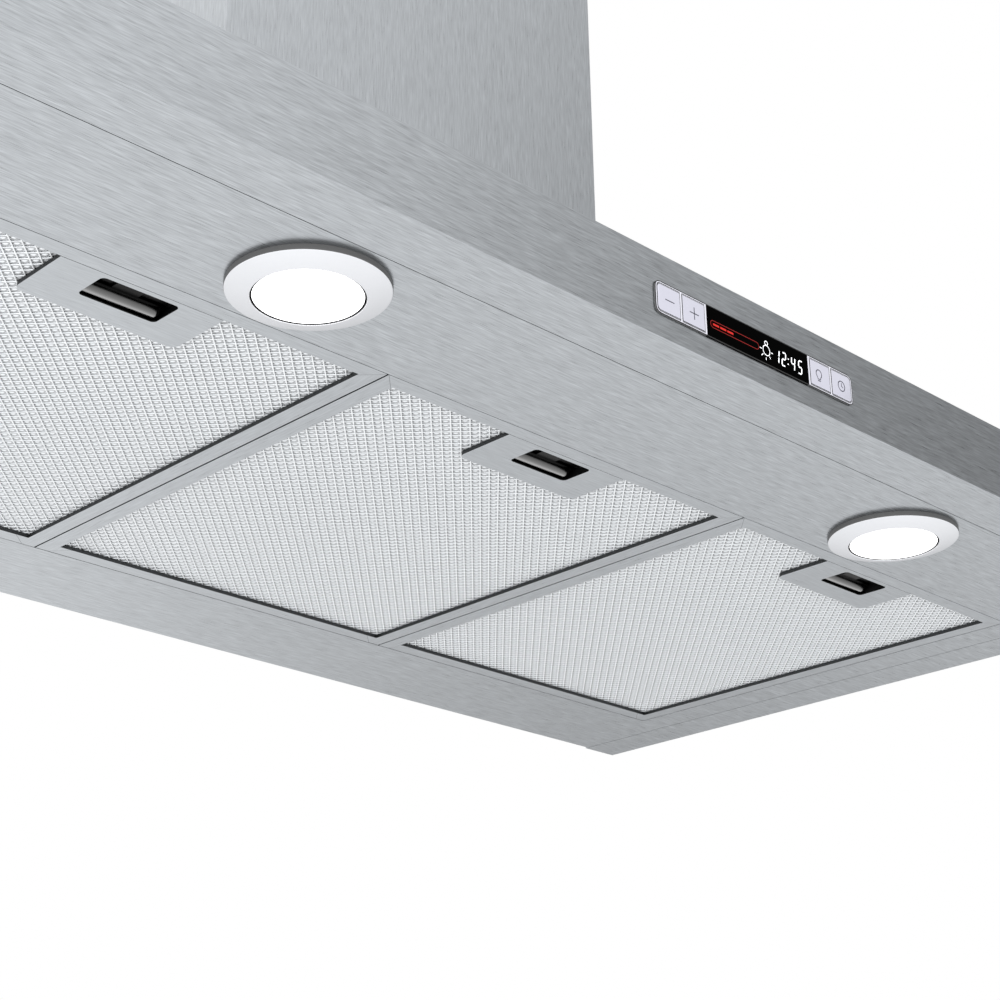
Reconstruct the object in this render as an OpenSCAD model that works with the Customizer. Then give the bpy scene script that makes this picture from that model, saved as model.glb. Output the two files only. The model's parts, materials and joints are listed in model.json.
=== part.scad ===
// Slim wall-mounted range hood: a flat box canopy with three grease filters, two lamps
// and a key strip, a double-inlet blower in its cabinet, and a telescopic chimney.
// Millimetres. X runs to the right seen from the front, Y towards the wall, Z up.
// The origin is the middle of the four wall screws, on the wall.
// Modules place their pieces by heights above the underside of the canopy, and
// in_frame() lowers them all by hang_h, the height of the wall screws above it.

/* [Canopy] */
// Width of the canopy from side to side
hood_w = 900; // [840:10:1200]
// Depth of the canopy from the wall to its front face
hood_d = 500; // [490:5:600]
// Height of the front face
canopy_h = 43.5; // [40:0.5:60]
// Thickness of the canopy sheet
sheet_t = 1; // [0.8:0.1:1.4]
// Width of the return lip under the front and the sides
lip_w = 31; // [24:1:40]
// Height of the upturned flanges where the lip and the underside panel meet
flange_h = 12; // [8:1:16]
// Seam between the lip and the underside panel
seam = 0.4; // [0.3:0.1:1]
// Gap between the underside panel and the wall
rear_gap = 2.5; // [2:0.5:6]

/* [Underside panel] */
// Width of the panel beside the filters
side_strip_w = 24.5; // [16:0.5:40]
// Depth of the panel in front of the filters, which carries the lamps
lamp_strip_d = 81; // [78:1:100]
// Depth of the panel behind the filters
rear_strip_d = 79; // [50:1:90]
// Height of the upturned flange round the filter bay
bay_flange_h = 4; // [3:0.5:4.5]

/* [Grease filters] */
// Gap round each filter
filter_gap = 0.5; // [0.4:0.1:1]
// Height of a filter
filter_h = 9; // [9:0.5:14]
// Sheet thickness of the filter frame
filter_t = 0.8; // [0.6:0.1:1]
// Width of the frame border seen from below
border_w = 10.2; // [8:0.2:16]
// Width of the frame border along the front edge
front_border_w = 9; // [7:0.2:14]
// Depth of the mesh behind the face of the border
mesh_recess = 2.3; // [1.5:0.1:2.8]
// Thickness of each mesh layer
mesh_t = 0.8; // [0.6:0.1:1]
// Sheet thickness of the pleated core between the mesh layers
pleat_t = 0.6; // [0.4:0.1:0.8]
// Length of one pleat of the core
pleat_pitch = 12; // [8:1:20]
// Width of each rear tab that hooks over the bay flange
tab_w = 20; // [12:1:30]
// Reach of each rear tab behind the filter
tab_l = 8; // [5:0.5:12]
// Thickness of each rear tab
tab_t = 1.2; // [0.8:0.1:1.6]

/* [Filter handles] */
// Width of the handle plate
handle_w = 84.6; // [70:0.2:110]
// Depth of the handle plate
handle_d = 37.6; // [36.8:0.2:50]
// Radius of the rear corners of the handle plate
handle_r = 4.5; // [2:0.5:10]
// Width of the finger slot
slot_w = 40.3; // [34:0.1:50]
// Depth of the finger slot
slot_d = 19.7; // [16:0.1:22]
// Corner radius of the finger slot
slot_r = 2.5; // [1:0.5:4]
// Distance from the front edge of the plate to the slot
slot_inset = 3.3; // [3:0.1:4]
// Offset of the slot to the right of the middle of the plate
slot_shift = 0.75; // [0:0.25:4]
// Width of the grip bar in the slot
grip_w = 7.2; // [6:0.1:7.4]
// Distance from the front edge of the slot to the grip bar
grip_inset = 14.1; // [12:0.1:14.8]
// Gap between the tip of the grip bar and the end of its pocket
grip_tip_gap = 1; // [0.4:0.1:10]
// Travel of the latch
latch_travel = 3.5; // [2:0.1:3.6]
// Thickness of the latch plate
latch_t = 1.2; // [1:0.1:1.4]
// Width of the latch tongue
tongue_w = 14; // [8:1:20]
// Wall of the pocket behind the slot
pocket_t = 0.8; // [0.6:0.1:1]
// Length of the latch spring when pressed
spring_l = 4.4; // [3.5:0.1:5]

/* [Lamps] */
// Distance between the lamp centres
lamp_span = 427; // [340:1:520]
// Outer radius of the lamp ring
ring_r = 36.3; // [33:0.1:38]
// Height of the ring's outer edge below the panel
ring_edge_h = 2.8; // [1.5:0.1:4]
// Height of the ring at the lens
ring_h = 6; // [4.4:0.1:7]
// Radius of the lens
lens_r = 24.5; // [22:0.5:26]
// Thickness of the lens
lens_t = 2.4; // [2:0.1:3]
// Gap round the lens
lens_gap = 0.4; // [0.2:0.1:0.6]
// Wall of the ring's barrel
barrel_t = 4; // [3:0.5:5]
// Radius of the lamp housing
lamp_body_r = 27; // [22:0.5:29]
// Height of the lamp housing
lamp_body_h = 22; // [14:1:24]

/* [Key strip] */
// Offset of the strip to the right of the middle
strip_x = 3.7; // [-20:0.1:20]
// Width of the strip
strip_w = 148.4; // [148:0.2:170]
// Height of the strip
strip_h = 16.2; // [15:0.2:20]
// Height of the middle of the strip above the underside
strip_z = 20; // [18:0.2:24]
// Corner radius of the strip
strip_r = 3.5; // [2.5:0.5:5]
// Width of the rim round the keys
bezel_edge = 1.2; // [1.2:0.1:2]
// Height of the rim in front of the front face
bezel_proud = 0.8; // [0.4:0.1:1.4]
// Depth of the rim behind the front face
bezel_depth = 6; // [5:0.5:8]
// Width of a key
key_w = 15.5; // [14.5:0.1:17]
// Gap between neighbouring keys
key_gap = 1.85; // [1:0.05:2]
// Clearance round a key
key_clear = 0.25; // [0.15:0.05:0.4]
// Height of a key in front of the rim
key_proud = 0.2; // [0.1:0.1:0.6]
// Travel of a key
key_travel = 1; // [0.5:0.1:1.2]
// Depth of the tray behind the strip
tray_d = 18; // [16:1:24]
// Wall of the tray
tray_t = 1.5; // [1:0.1:2]
// Thickness of the circuit board
board_t = 1.6; // [1:0.2:2]

/* [Lamp driver] */
// Width of the lamp driver
driver_w = 92; // [60:2:120]
// Depth of the lamp driver
driver_d = 38; // [30:1:44]
// Height of the lamp driver
driver_h = 20; // [14:1:24]

/* [Blower cabinet] */
// Width of the cabinet
cab_w = 260; // [256:2:264]
// Depth of the cabinet
cab_d = 245; // [240:1:248]
// Height of the cabinet above the canopy
cab_h = 241.5; // [236:0.5:250]
// Sheet thickness of the cabinet
cab_t = 1.2; // [0.8:0.1:1.5]
// Width of the foot flange of the cabinet
cab_flange = 9; // [8:0.5:9.5]
// Gap between the cabinet and the wall
wall_gap = 10.8; // [10.6:0.1:12]

/* [Blower] */
// Distance of the fan axis from the wall
fan_back = 165; // [162:1:168]
// Height of the fan axis above the canopy
fan_up = 106.5; // [104:0.5:112]
// Radius of the scroll where it meets the outlet
scroll_r = 95; // [92:0.5:98]
// Radius of the scroll at its tongue
scroll_tongue_r = 68; // [65:0.5:72]
// Distance of the tongue wall behind the fan axis
tongue_y = 15; // [10:0.5:20]
// Width of the scroll
scroll_w = 124; // [118:1:130]
// Wall of the scroll
scroll_t = 2; // [1.5:0.1:3]
// Outer radius of the fan wheel
wheel_r = 58; // [54:0.5:60]
// Inner radius of the fan wheel's blades and of the scroll's inlets
inlet_r = 46; // [42:0.5:50]
// Length of the fan wheel
wheel_l = 104; // [90:1:110]
// Number of blades
blade_count = 36; // [24:2:40]
// Thickness of a blade
blade_t = 1.2; // [1:0.1:1.6]
// Thickness of the wheel's disc and end rings
disc_t = 2; // [1.5:0.1:3]
// Radius of the wheel's hub
hub_r = 12; // [9:0.5:16]
// Length of the hub to each side
hub_l = 9; // [6:0.5:12]
// Radius of the motor
motor_r = 32; // [26:0.5:35]
// Radius of the motor shaft
shaft_r = 4; // [3:0.5:6]
// Running clearance of the shaft in the motor, on the radius
shaft_clear = 0.05; // [0.02:0.01:0.08]
// Width of the motor bracket's arms
arm_w = 10; // [6:0.5:16]

/* [Outlet] */
// Distance of the outlet axis from the wall
outlet_back = 110; // [106:1:114]
// Outer radius of the outlet collar
collar_r = 75; // [74:0.5:76]
// Wall of the collar
collar_t = 2; // [1.5:0.1:2.5]
// Height of the collar above its flange
collar_h = 58; // [50:1:70]
// Width of the collar's flange
collar_flange = 13; // [10:0.5:14]
// Height of the flap spindle above the collar's flange
spindle_up = 20; // [12:1:30]
// Radius of the flap spindle
spindle_r = 2; // [1.5:0.1:3]
// Thickness of a backdraft flap
flap_t = 1.2; // [0.8:0.1:2]
// Gap between a flap and the wall of the collar
flap_gap = 0.6; // [0.4:0.1:1]
// Width of the stop rim inside the collar
rim_w = 3; // [2:0.5:5]

/* [Chimney] */
// Width of the lower chimney cover
chimney_w = 300; // [296:1:320]
// Depth of the lower chimney cover
chimney_d = 270; // [268:1:290]
// Sheet thickness of the chimney covers
chimney_t = 1; // [0.8:0.1:1.2]
// Height of the lower chimney cover
lower_h = 440; // [420:5:520]
// Height of the upper chimney cover
upper_h = 510; // [480:5:560]
// Height of the upper cover that shows above the lower one at rest
upper_show = 155; // [120:5:200]
// Clearance between the two covers
cover_gap = 0.3; // [0.3:0.05:0.6]
// Width of the covers' rear returns
return_w = 15; // [10:1:20]
// Number of vent slots in each side of the upper cover
vent_count = 6; // [3:1:7]
// Width of a vent slot
vent_w = 3.5; // [2.5:0.1:3.8]
// Length of a vent slot
vent_l = 62; // [40:2:80]
// Distance between vent slots
vent_pitch = 12; // [8:1:16]

/* [Wall mounting] */
// Height of the middle of the wall screws above the underside
hang_h = 200; // [190:1:230]
// Distance between the two hook brackets
hook_distance = 180; // [140:2:190]
// Distance between the upper and the lower screw of a hook bracket
hook_screw_span = 50; // [40:1:60]
// Radius of the screw holes in the hook brackets
wall_hole_r = 3.5; // [2.5:0.25:4]
// Width of a hook bracket
hook_w = 30; // [26:1:36]
// Thickness of the hook brackets
hook_t = 2; // [1.5:0.1:2.5]
// Width of a hook
hook_arm_w = 16; // [12:1:20]
// Height of the chimney's wall bracket
top_bracket_h = 30; // [20:1:36]
// Distance between the screw holes of the chimney's wall bracket
top_screw_span = 160; // [100:5:220]
// Length of the arms of the chimney's wall bracket
top_arm_l = 40; // [25:1:50]

/* [Mains connection] */
// Width of the terminal box
box_w = 36; // [30:1:38]
// Depth of the terminal box
box_d = 90; // [70:1:100]
// Height of the terminal box
box_h = 40; // [30:1:50]
// Radius of the cable inlet
inlet_bore_r = 4; // [3:0.25:5]

/* [Fasteners] */
// Radius of the sheet metal screws
screw_r = 2; // [1.5:0.1:2.5]
// Radius of the screw heads
head_r = 3.6; // [3:0.1:4]
// Height of the screw heads
head_h = 2; // [1.5:0.1:2.5]
// Clearance of a screw in its hole, on the radius
screw_clear = 0.15; // [0.1:0.05:0.3]

/* [Hidden] */
$fn = 96;

// Overrun of every cut past the face that it leaves
overrun = 1;
// Running gap between pieces that slide or swing past each other
slide_gap = 0.3;
// Thin gap between seated sheets
seat_gap = 0.2;

// Canopy
half_w = hood_w / 2;
lip_edge_x = half_w - lip_w + seam / 2;
lip_edge_y = -hood_d + lip_w - seam / 2;
panel_x = half_w - lip_w - seam / 2;
panel_front_y = -hood_d + lip_w + seam / 2;
panel_rear_y = -rear_gap;
canopy_in_top = canopy_h - sheet_t;

// Filter bay and filters
FILTERS = [-1, 0, 1];
bay_w = hood_w - 2 * (lip_w + side_strip_w);
bay_front_y = -hood_d + lip_w + lamp_strip_d;
bay_rear_y = -rear_gap - rear_strip_d;
filter_pitch = bay_w / len(FILTERS);
filter_w = filter_pitch - 2 * filter_gap;
filter_y0 = bay_front_y + filter_gap;
filter_y1 = bay_rear_y - filter_gap;
mesh_in_x = filter_w / 2 - filter_t - seat_gap;
mesh_in_y0 = filter_y0 + filter_t + seat_gap;
mesh_in_y1 = filter_y1 - filter_t - seat_gap;
mesh_top_z = filter_h - filter_t;
core_z0 = mesh_recess + mesh_t;
core_z1 = mesh_top_z - mesh_t;
tab_z = bay_flange_h + slide_gap;
tab_x_share = 0.3;

// Handle, pocket and latch, in the filter's own X and the frame's Y
plate_y0 = filter_y0 + front_border_w;
plate_y1 = plate_y0 + handle_d;
slot_x0 = slot_shift - slot_w / 2;
slot_x1 = slot_shift + slot_w / 2;
slot_y0 = plate_y0 + slot_inset;
slot_y1 = slot_y0 + slot_d;
pocket_side = 2;
pocket_z1 = core_z1 - seat_gap;
pocket_in_z = pocket_z1 - pocket_t;
latch_z1 = pocket_in_z - slide_gap;
latch_z0 = latch_z1 - latch_t;
grip_y0 = slot_y0 + grip_inset;
grip_y1 = grip_y0 + grip_w;
latch_side = 1.4;
latch_y0 = grip_y0 - latch_side;
latch_y1 = grip_y1 + latch_side;
spring_r = 1.5;
lug_w = 6;
lug_t = 1;
pocket_y0 = slot_y0 - pocket_side;
pocket_y1 = latch_y1 + lug_t + spring_l + latch_travel + slide_gap;
tongue_y0 = filter_y0 - filter_gap / 5;

// Lamps
lamp_y = -hood_d + lip_w + lamp_strip_d / 2;
barrel_r = lens_r + lens_gap + barrel_t;
barrel_h = 8;
ledge_w = 1.6;
lens_sink = 0.2;
clip_w = 10;
clip_l = 9;
clip_t = 0.8;

// Key strip
strip_y = -hood_d;
strip_in_w = strip_w - 2 * bezel_edge;
strip_in_h = strip_h - 2 * bezel_edge;
display_w = strip_in_w - 4 * (key_w + key_gap);
strip_left = strip_x - strip_in_w / 2;
bezel_wall = 1;
key_flange = 0.6;
rim_w_in = bezel_edge - bezel_wall;
KEY_X = [
    strip_left,
    strip_left + key_w + key_gap,
    strip_left + 2 * (key_w + key_gap) + display_w + key_gap,
    strip_left + 3 * (key_w + key_gap) + display_w + key_gap
];
display_x = strip_left + 2 * (key_w + key_gap);
tray_y0 = strip_y + sheet_t;
tray_y1 = tray_y0 + tray_d;
tray_in_y1 = tray_y1 - tray_t;
tray_lip = 4;
board_y = tray_in_y1 - board_t;
key_tip_y = board_y - 2 * board_t - key_travel - slide_gap;

// Cabinet
cab_x = cab_w / 2;
cab_y1 = -wall_gap;
cab_y0 = cab_y1 - cab_d;
cab_z0 = canopy_h;
cab_z1 = canopy_h + cab_h;
cab_in_z = cab_z1 - cab_t;

// Blower
fan_y = -fan_back;
fan_z = canopy_h + fan_up;
scroll_top = cab_in_z - fan_z;
scroll_flange = 12;
motor_x0 = hub_l + slide_gap;
motor_x1 = scroll_w / 2;
shaft_x0 = -hub_l;
shaft_x1 = motor_x0 + (motor_x1 - motor_x0) / 2;
spider_t = 2;
spider_r = inlet_r + scroll_flange;
blade_tilt = 35;
scroll_steps = 28;

// Outlet
outlet_y = -outlet_back;
collar_z0 = cab_z1;
collar_z1 = collar_z0 + collar_t + collar_h;
collar_in_r = collar_r - collar_t;
spindle_z = collar_z0 + collar_t + spindle_up;
flap_z0 = spindle_z - 2 * spindle_r + flap_t / 2;
flap_r = collar_in_r - flap_gap;
flap_hub_r = 2 * spindle_r;
flap_hub_w = 12;
flap_in_y = flap_hub_r + flap_gap;
FLAP_HUB_X = [flap_hub_w, 2.2 * flap_hub_w];

// Chimney
lower_z0 = canopy_h;
lower_z1 = lower_z0 + lower_h;
upper_w = chimney_w - 2 * (chimney_t + cover_gap);
upper_d = chimney_d - chimney_t - cover_gap;
upper_z1 = lower_z1 + upper_show;
upper_z0 = upper_z1 - upper_h;
foot_w = 8;
foot_l = 24;
foot_screw_in = chimney_t + seat_gap + head_r;
vent_top = top_bracket_h + 3 * vent_pitch;
top_bracket_z1 = upper_z1 - vent_pitch;
top_bracket_z0 = top_bracket_z1 - top_bracket_h;
top_hole_r = 3;
arm_screw_l = 6;

// Wall hooks
hook_plate_h = hook_screw_span + 2 * hook_w / 2;
hook_arm_z = hook_t + seat_gap;
hook_lip_h = 9;
hook_gap = 1.2;
hook_slot_w = hook_arm_w + 2 * hook_gap;
hook_slot_h = hook_lip_h + hook_t + 3 * hook_gap;

// Terminal box
box_x0 = collar_r + collar_flange + 4 * sheet_t;
box_y0 = outlet_y - box_d / 9;
lid_t = 1.6;

// Screws: shares of the depth or of the half width where each one sits
panel_screw_shares = [0.2, 0.5, 0.82];
foot_front_share = 0.62;
foot_side_shares = [0.25, 0.75];
chimney_screw_shares = [0.15, 0.85];
bracket_screw_share = 0.7;

// Basic shapes

module in_frame() {
    translate([0, 0, -hang_h]) children();
}

// A box between two values on each axis
module span(x0, x1, y0, y1, z0, z1) {
    translate([x0, y0, z0]) cube([x1 - x0, y1 - y0, z1 - z0]);
}

// The same box on the right and on the left
module both_sides() {
    children();
    mirror([1, 0, 0]) children();
}

// A round bar along X
module x_bar(r, x0, x1) {
    translate([x0, 0, 0]) rotate([0, 90, 0]) cylinder(r = r, h = x1 - x0);
}

// A round bar along Y
module y_bar(r, y0, y1) {
    translate([0, y1, 0]) rotate([90, 0, 0]) cylinder(r = r, h = y1 - y0);
}

// A round bar along Z
module z_bar(r, z0, z1) {
    translate([0, 0, z0]) cylinder(r = r, h = z1 - z0);
}

// A flat rectangle with four round corners
module round_rect(x0, x1, y0, y1, r) {
    translate([x0 + r, y0]) square([x1 - x0 - 2 * r, y1 - y0]);
    translate([x0, y0 + r]) square([x1 - x0, y1 - y0 - 2 * r]);
    for (x = [x0 + r, x1 - r], y = [y0 + r, y1 - r]) {
        translate([x, y]) circle(r = r);
    }
}

// A flat rectangle with two round corners at its far end
module round_end_rect(x0, x1, y0, y1, r) {
    translate([x0, y0]) square([x1 - x0, y1 - y0 - r]);
    translate([x0 + r, y0]) square([x1 - x0 - 2 * r, y1 - y0]);
    for (x = [x0 + r, x1 - r]) {
        translate([x, y1 - r]) circle(r = r);
    }
}

// A plate that stands in the XZ plane, from a flat shape drawn in X and Z
module upright(y0, y1) {
    translate([0, y1, 0]) rotate([90, 0, 0]) linear_extrude(height = y1 - y0) children();
}

function filter_x(i) = i * filter_pitch;

// Places that pieces share

module at_panel_screws() {
    for (share = panel_screw_shares) {
        translate([panel_x - sheet_t, -hood_d * share, flange_h / 2]) children();
    }
}

module at_cabinet_screws() {
    for (y = [cab_y0 - cab_flange / 2, cab_y1 + cab_flange / 2]) {
        translate([cab_x * foot_front_share, y, cab_z0]) children();
    }
    for (share = foot_side_shares) {
        translate([cab_x + cab_flange / 2, cab_y0 + cab_d * share, cab_z0]) children();
    }
}

module at_collar_screws() {
    for (a = [45:90:315]) {
        translate([0, outlet_y, collar_z0]) rotate([0, 0, a])
            translate([collar_r + collar_flange / 2, 0, 0]) children();
    }
}

module at_chimney_screws() {
    for (share = chimney_screw_shares) {
        translate([chimney_w / 2 - foot_screw_in, -chimney_d * share, lower_z0]) children();
    }
}

module at_bracket_screws() {
    translate([upper_w / 2, -top_arm_l * bracket_screw_share, (top_bracket_z0 + top_bracket_z1) / 2])
        children();
}

// Canopy

module canopy_shell() {
    color("silver") in_frame() difference() {
        union() {
            span(-half_w, half_w, -hood_d, -hood_d + sheet_t, 0, canopy_h);
            span(-half_w, half_w, -hood_d, lip_edge_y, 0, sheet_t);
            span(-lip_edge_x, lip_edge_x, lip_edge_y - sheet_t, lip_edge_y, 0, flange_h);
            both_sides() {
                span(half_w - sheet_t, half_w, -hood_d, 0, 0, canopy_h);
                span(lip_edge_x, half_w, -hood_d, 0, 0, sheet_t);
                span(lip_edge_x, lip_edge_x + sheet_t, lip_edge_y - sheet_t, -sheet_t, 0, flange_h);
            }
        }
        upright(-hood_d - overrun, -hood_d + sheet_t + overrun) strip_outline(rim_w_in);
        both_sides() at_panel_screws()
            x_bar(screw_r + screw_clear, 0, 2 * sheet_t + seam + overrun);
    }
}

// Top plate between the walls of the shell
module canopy_top() {
    x = half_w - sheet_t;
    color("silver") in_frame() difference() {
        span(-x, x, -hood_d + sheet_t, 0, canopy_in_top, canopy_h);
        span(-cab_x + cab_t, cab_x - cab_t, cab_y0 + cab_t, cab_y1 - cab_t,
            canopy_in_top - overrun, canopy_h + overrun);
        both_sides() {
            at_cabinet_screws() z_bar(screw_r + screw_clear, -sheet_t - overrun, overrun);
            at_chimney_screws() z_bar(screw_r + screw_clear, -sheet_t - overrun, overrun);
        }
    }
}

module back_panel() {
    x = half_w - sheet_t;
    color("silver") in_frame() difference() {
        union() {
            span(-x, x, -sheet_t, 0, sheet_t, canopy_in_top);
            span(-x, x, -flange_h + seat_gap, 0, canopy_in_top - sheet_t, canopy_in_top);
        }
        both_sides() at_cabinet_screws() z_bar(screw_r + screw_clear, -3 * sheet_t, 0);
    }
}

module underside_panel() {
    color("gainsboro") in_frame() difference() {
        union() {
            span(-panel_x, panel_x, panel_front_y, panel_rear_y, 0, sheet_t);
            span(-panel_x, panel_x, panel_front_y, panel_front_y + sheet_t, 0, flange_h);
            span(-panel_x, panel_x, panel_rear_y - sheet_t, panel_rear_y, 0, flange_h);
            both_sides() span(panel_x - sheet_t, panel_x, panel_front_y, panel_rear_y, 0, flange_h);
            span(-bay_w / 2 - sheet_t, bay_w / 2 + sheet_t, bay_front_y - sheet_t,
                bay_rear_y + sheet_t, 0, bay_flange_h);
        }
        span(-bay_w / 2, bay_w / 2, bay_front_y, bay_rear_y, -overrun, bay_flange_h + overrun);
        both_sides() {
            translate([lamp_span / 2, lamp_y, 0])
                z_bar(barrel_r + seat_gap, -overrun, sheet_t + overrun);
            at_panel_screws() x_bar(screw_r + screw_clear, -overrun, sheet_t + overrun);
        }
    }
}

// Grease filters, i is -1 for the left one, 0 for the middle one, 1 for the right one

module filter_frame(i) {
    color("lightgray") in_frame() translate([filter_x(i), 0, 0]) {
        x = filter_w / 2;
        win_x = x - border_w;
        win_y0 = filter_y0 + front_border_w;
        win_y1 = filter_y1 - border_w;
        difference() {
            span(-x, x, filter_y0, filter_y1, 0, filter_h);
            span(-x + filter_t, x - filter_t, filter_y0 + filter_t, filter_y1 - filter_t,
                filter_t, filter_h - filter_t);
            span(-win_x, win_x, win_y0, win_y1, -overrun, filter_h + overrun);
            span(-tongue_w / 2 - slide_gap, tongue_w / 2 + slide_gap, filter_y0 - overrun,
                filter_y0 + filter_t + overrun, latch_z0 - slide_gap, latch_z1 + slide_gap);
        }
        difference() {
            span(-win_x - filter_t, win_x + filter_t, win_y0 - filter_t, win_y1 + filter_t,
                0, mesh_recess);
            span(-win_x, win_x, win_y0, win_y1, -overrun, mesh_recess + overrun);
        }
        both_sides() translate([filter_w * tab_x_share, 0, 0])
            span(-tab_w / 2, tab_w / 2, filter_y1 - filter_t, filter_y1 + tab_l,
                tab_z, tab_z + tab_t);
    }
}

// The room that the handle's pocket and the latch's tongue take in the filter's layers
module pocket_room() {
    gap = slide_gap + pocket_t;
    span(slot_x0 - pocket_side - gap, slot_x1 + pocket_side + gap,
        mesh_in_y0 - overrun, pocket_y1 + gap, mesh_recess - overrun, pocket_z1 + seat_gap / 2);
}

// Two mesh layers, below and above the core
module filter_mesh(i) {
    color("whitesmoke") in_frame() translate([filter_x(i), 0, 0]) {
        difference() {
            span(-mesh_in_x, mesh_in_x, mesh_in_y0, mesh_in_y1, mesh_recess, core_z0);
            pocket_room();
        }
        span(-mesh_in_x, mesh_in_x, mesh_in_y0, mesh_in_y1, core_z1, mesh_top_z);
    }
}

// One pleated layer: a zigzag strip drawn in X and Z and carried along Y
module filter_core(i) {
    count = floor(2 * mesh_in_x / pleat_pitch);
    rise = core_z1 - core_z0 - pleat_t;
    left = -count * pleat_pitch / 2;
    low = [for (k = [0:2 * count]) [left + k * pleat_pitch / 2, core_z0 + rise * (k % 2)]];
    high = [for (k = [2 * count:-1:0]) low[k] + [0, pleat_t]];
    color("gray") in_frame() translate([filter_x(i), 0, 0]) difference() {
        upright(mesh_in_y0, mesh_in_y1) polygon(concat(low, high));
        pocket_room();
    }
}

// Plate with its finger slot, the rim that bears on the mesh, and the pocket behind the slot
module filter_handle(i) {
    x = handle_w / 2;
    in_x0 = slot_x0 - pocket_side;
    in_x1 = slot_x1 + pocket_side;
    color("lightgray") in_frame() translate([filter_x(i), 0, 0]) difference() {
        union() {
            linear_extrude(height = filter_t)
                round_end_rect(-x, x, plate_y0 + seat_gap, plate_y1, handle_r);
            difference() {
                linear_extrude(height = mesh_recess)
                    round_end_rect(-x, x, plate_y0 + seat_gap, plate_y1, handle_r);
                translate([0, 0, -overrun]) linear_extrude(height = mesh_recess + 2 * overrun)
                    round_end_rect(-x + filter_t, x - filter_t, plate_y0 + seat_gap + filter_t,
                        plate_y1 - filter_t, handle_r - filter_t);
            }
            span(in_x0 - pocket_t, in_x1 + pocket_t, pocket_y0 - pocket_t, pocket_y1 + pocket_t,
                0, pocket_z1);
        }
        span(in_x0, in_x1, pocket_y0, pocket_y1, filter_t, pocket_in_z);
        translate([0, 0, -overrun]) linear_extrude(height = filter_t + 2 * overrun)
            round_rect(slot_x0, slot_x1, slot_y0, slot_y1, slot_r);
        span(-tongue_w / 2 - slide_gap, tongue_w / 2 + slide_gap, pocket_y0 - pocket_t - overrun,
            pocket_y0 + overrun, latch_z0 - slide_gap, latch_z1 + slide_gap);
    }
}

// Sliding latch: half-round grip bar, plate, lug for the spring, and the tongue that reaches the
// front edge. The left end of the bar lies behind the edge of the slot.
module filter_latch(i) {
    r = grip_w / 2;
    x0 = slot_x0 - pocket_side + slide_gap;
    x1 = slot_x1 + pocket_side - grip_tip_gap - r;
    color("dimgray") in_frame() translate([filter_x(i), 0, 0]) {
        intersection() {
            translate([0, (grip_y0 + grip_y1) / 2, latch_z0]) {
                x_bar(r, x0, x1);
                translate([x1, 0, 0]) sphere(r = r);
            }
            span(x0, x1 + r + overrun, grip_y0 - overrun, grip_y1 + overrun, 0, latch_z0);
        }
        span(x0, x1 + r, latch_y0, latch_y1, latch_z0, latch_z1);
        span(-tongue_w / 2, tongue_w / 2, tongue_y0, latch_y0, latch_z0, latch_z1);
        span(-lug_w / 2, lug_w / 2, latch_y1, latch_y1 + lug_t, filter_t + slide_gap, latch_z1);
    }
}

// Coil spring of the latch as a tube, drawn pressed, so that it clears the pocket at full travel
module filter_spring(i) {
    z = filter_t + slide_gap + spring_r + seat_gap;
    color("dimgray") in_frame() translate([filter_x(i), 0, z]) difference() {
        y_bar(spring_r, latch_y1 + lug_t, latch_y1 + lug_t + spring_l);
        y_bar(spring_r / 2, latch_y1 + lug_t - overrun, latch_y1 + lug_t + spring_l + overrun);
    }
}

// Lamps, side is -1 for the left one and 1 for the right one

module at_lamp(side) {
    translate([side * lamp_span / 2, lamp_y, 0]) children();
}

// Ring with a sloping face and an upright outer edge, and the barrel that goes through the panel
module lamp_ring(side) {
    in_r = lens_r + lens_gap;
    ledge_r = in_r - ledge_w;
    ledge_z = -ring_h + lens_sink + lens_t;
    color("white") in_frame() at_lamp(side) rotate_extrude() polygon([
        [in_r, -ring_h],
        [ring_r, -ring_edge_h],
        [ring_r, 0],
        [barrel_r, 0],
        [barrel_r, barrel_h],
        [ledge_r, barrel_h],
        [ledge_r, ledge_z],
        [in_r, ledge_z]
    ]);
}

module lamp_lens(side) {
    z = -ring_h + lens_sink;
    color("ivory") in_frame() at_lamp(side) z_bar(lens_r, z, z + lens_t);
}

// Housing with cooling fins behind the lens
module lamp_body(side) {
    fin_count = 5;
    fin_pitch = lamp_body_h / (2 * fin_count);
    color("gray") in_frame() at_lamp(side) difference() {
        z_bar(lamp_body_r, barrel_h, barrel_h + lamp_body_h);
        for (k = [1:fin_count - 1]) {
            z = barrel_h + 2 * k * fin_pitch;
            difference() {
                z_bar(lamp_body_r + overrun, z, z + fin_pitch);
                z_bar(lamp_body_r * 0.7, z - overrun, z + fin_pitch + overrun);
            }
        }
    }
}

// Two spring clips on each barrel, pressing on the top of the panel
module lamp_clips() {
    color("gainsboro") in_frame() for (side = FILTERS) if (side != 0) at_lamp(side) {
        both_sides() {
            span(barrel_r, barrel_r + clip_l, -clip_w / 2, clip_w / 2, sheet_t, sheet_t + clip_t);
            span(barrel_r, barrel_r + clip_t, -clip_w / 2, clip_w / 2, sheet_t, barrel_h);
        }
    }
}

module lamp_driver() {
    ear_w = 8;
    y1 = bay_front_y - sheet_t - 2 * seat_gap;
    color("dimgray") in_frame() difference() {
        union() {
            span(-driver_w / 2, driver_w / 2, y1 - driver_d, y1,
                canopy_in_top - driver_h, canopy_in_top);
            span(-driver_w / 2 - ear_w, driver_w / 2 + ear_w, y1 - driver_d, y1,
                canopy_in_top - sheet_t, canopy_in_top);
        }
        for (x = [-1, 1], y = [0.25, 0.75]) {
            translate([x * (driver_w / 2 + ear_w / 2), y1 - driver_d * y, 0])
                z_bar(screw_r, canopy_in_top - sheet_t - overrun, canopy_in_top + overrun);
        }
    }
}

// Key strip

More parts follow.
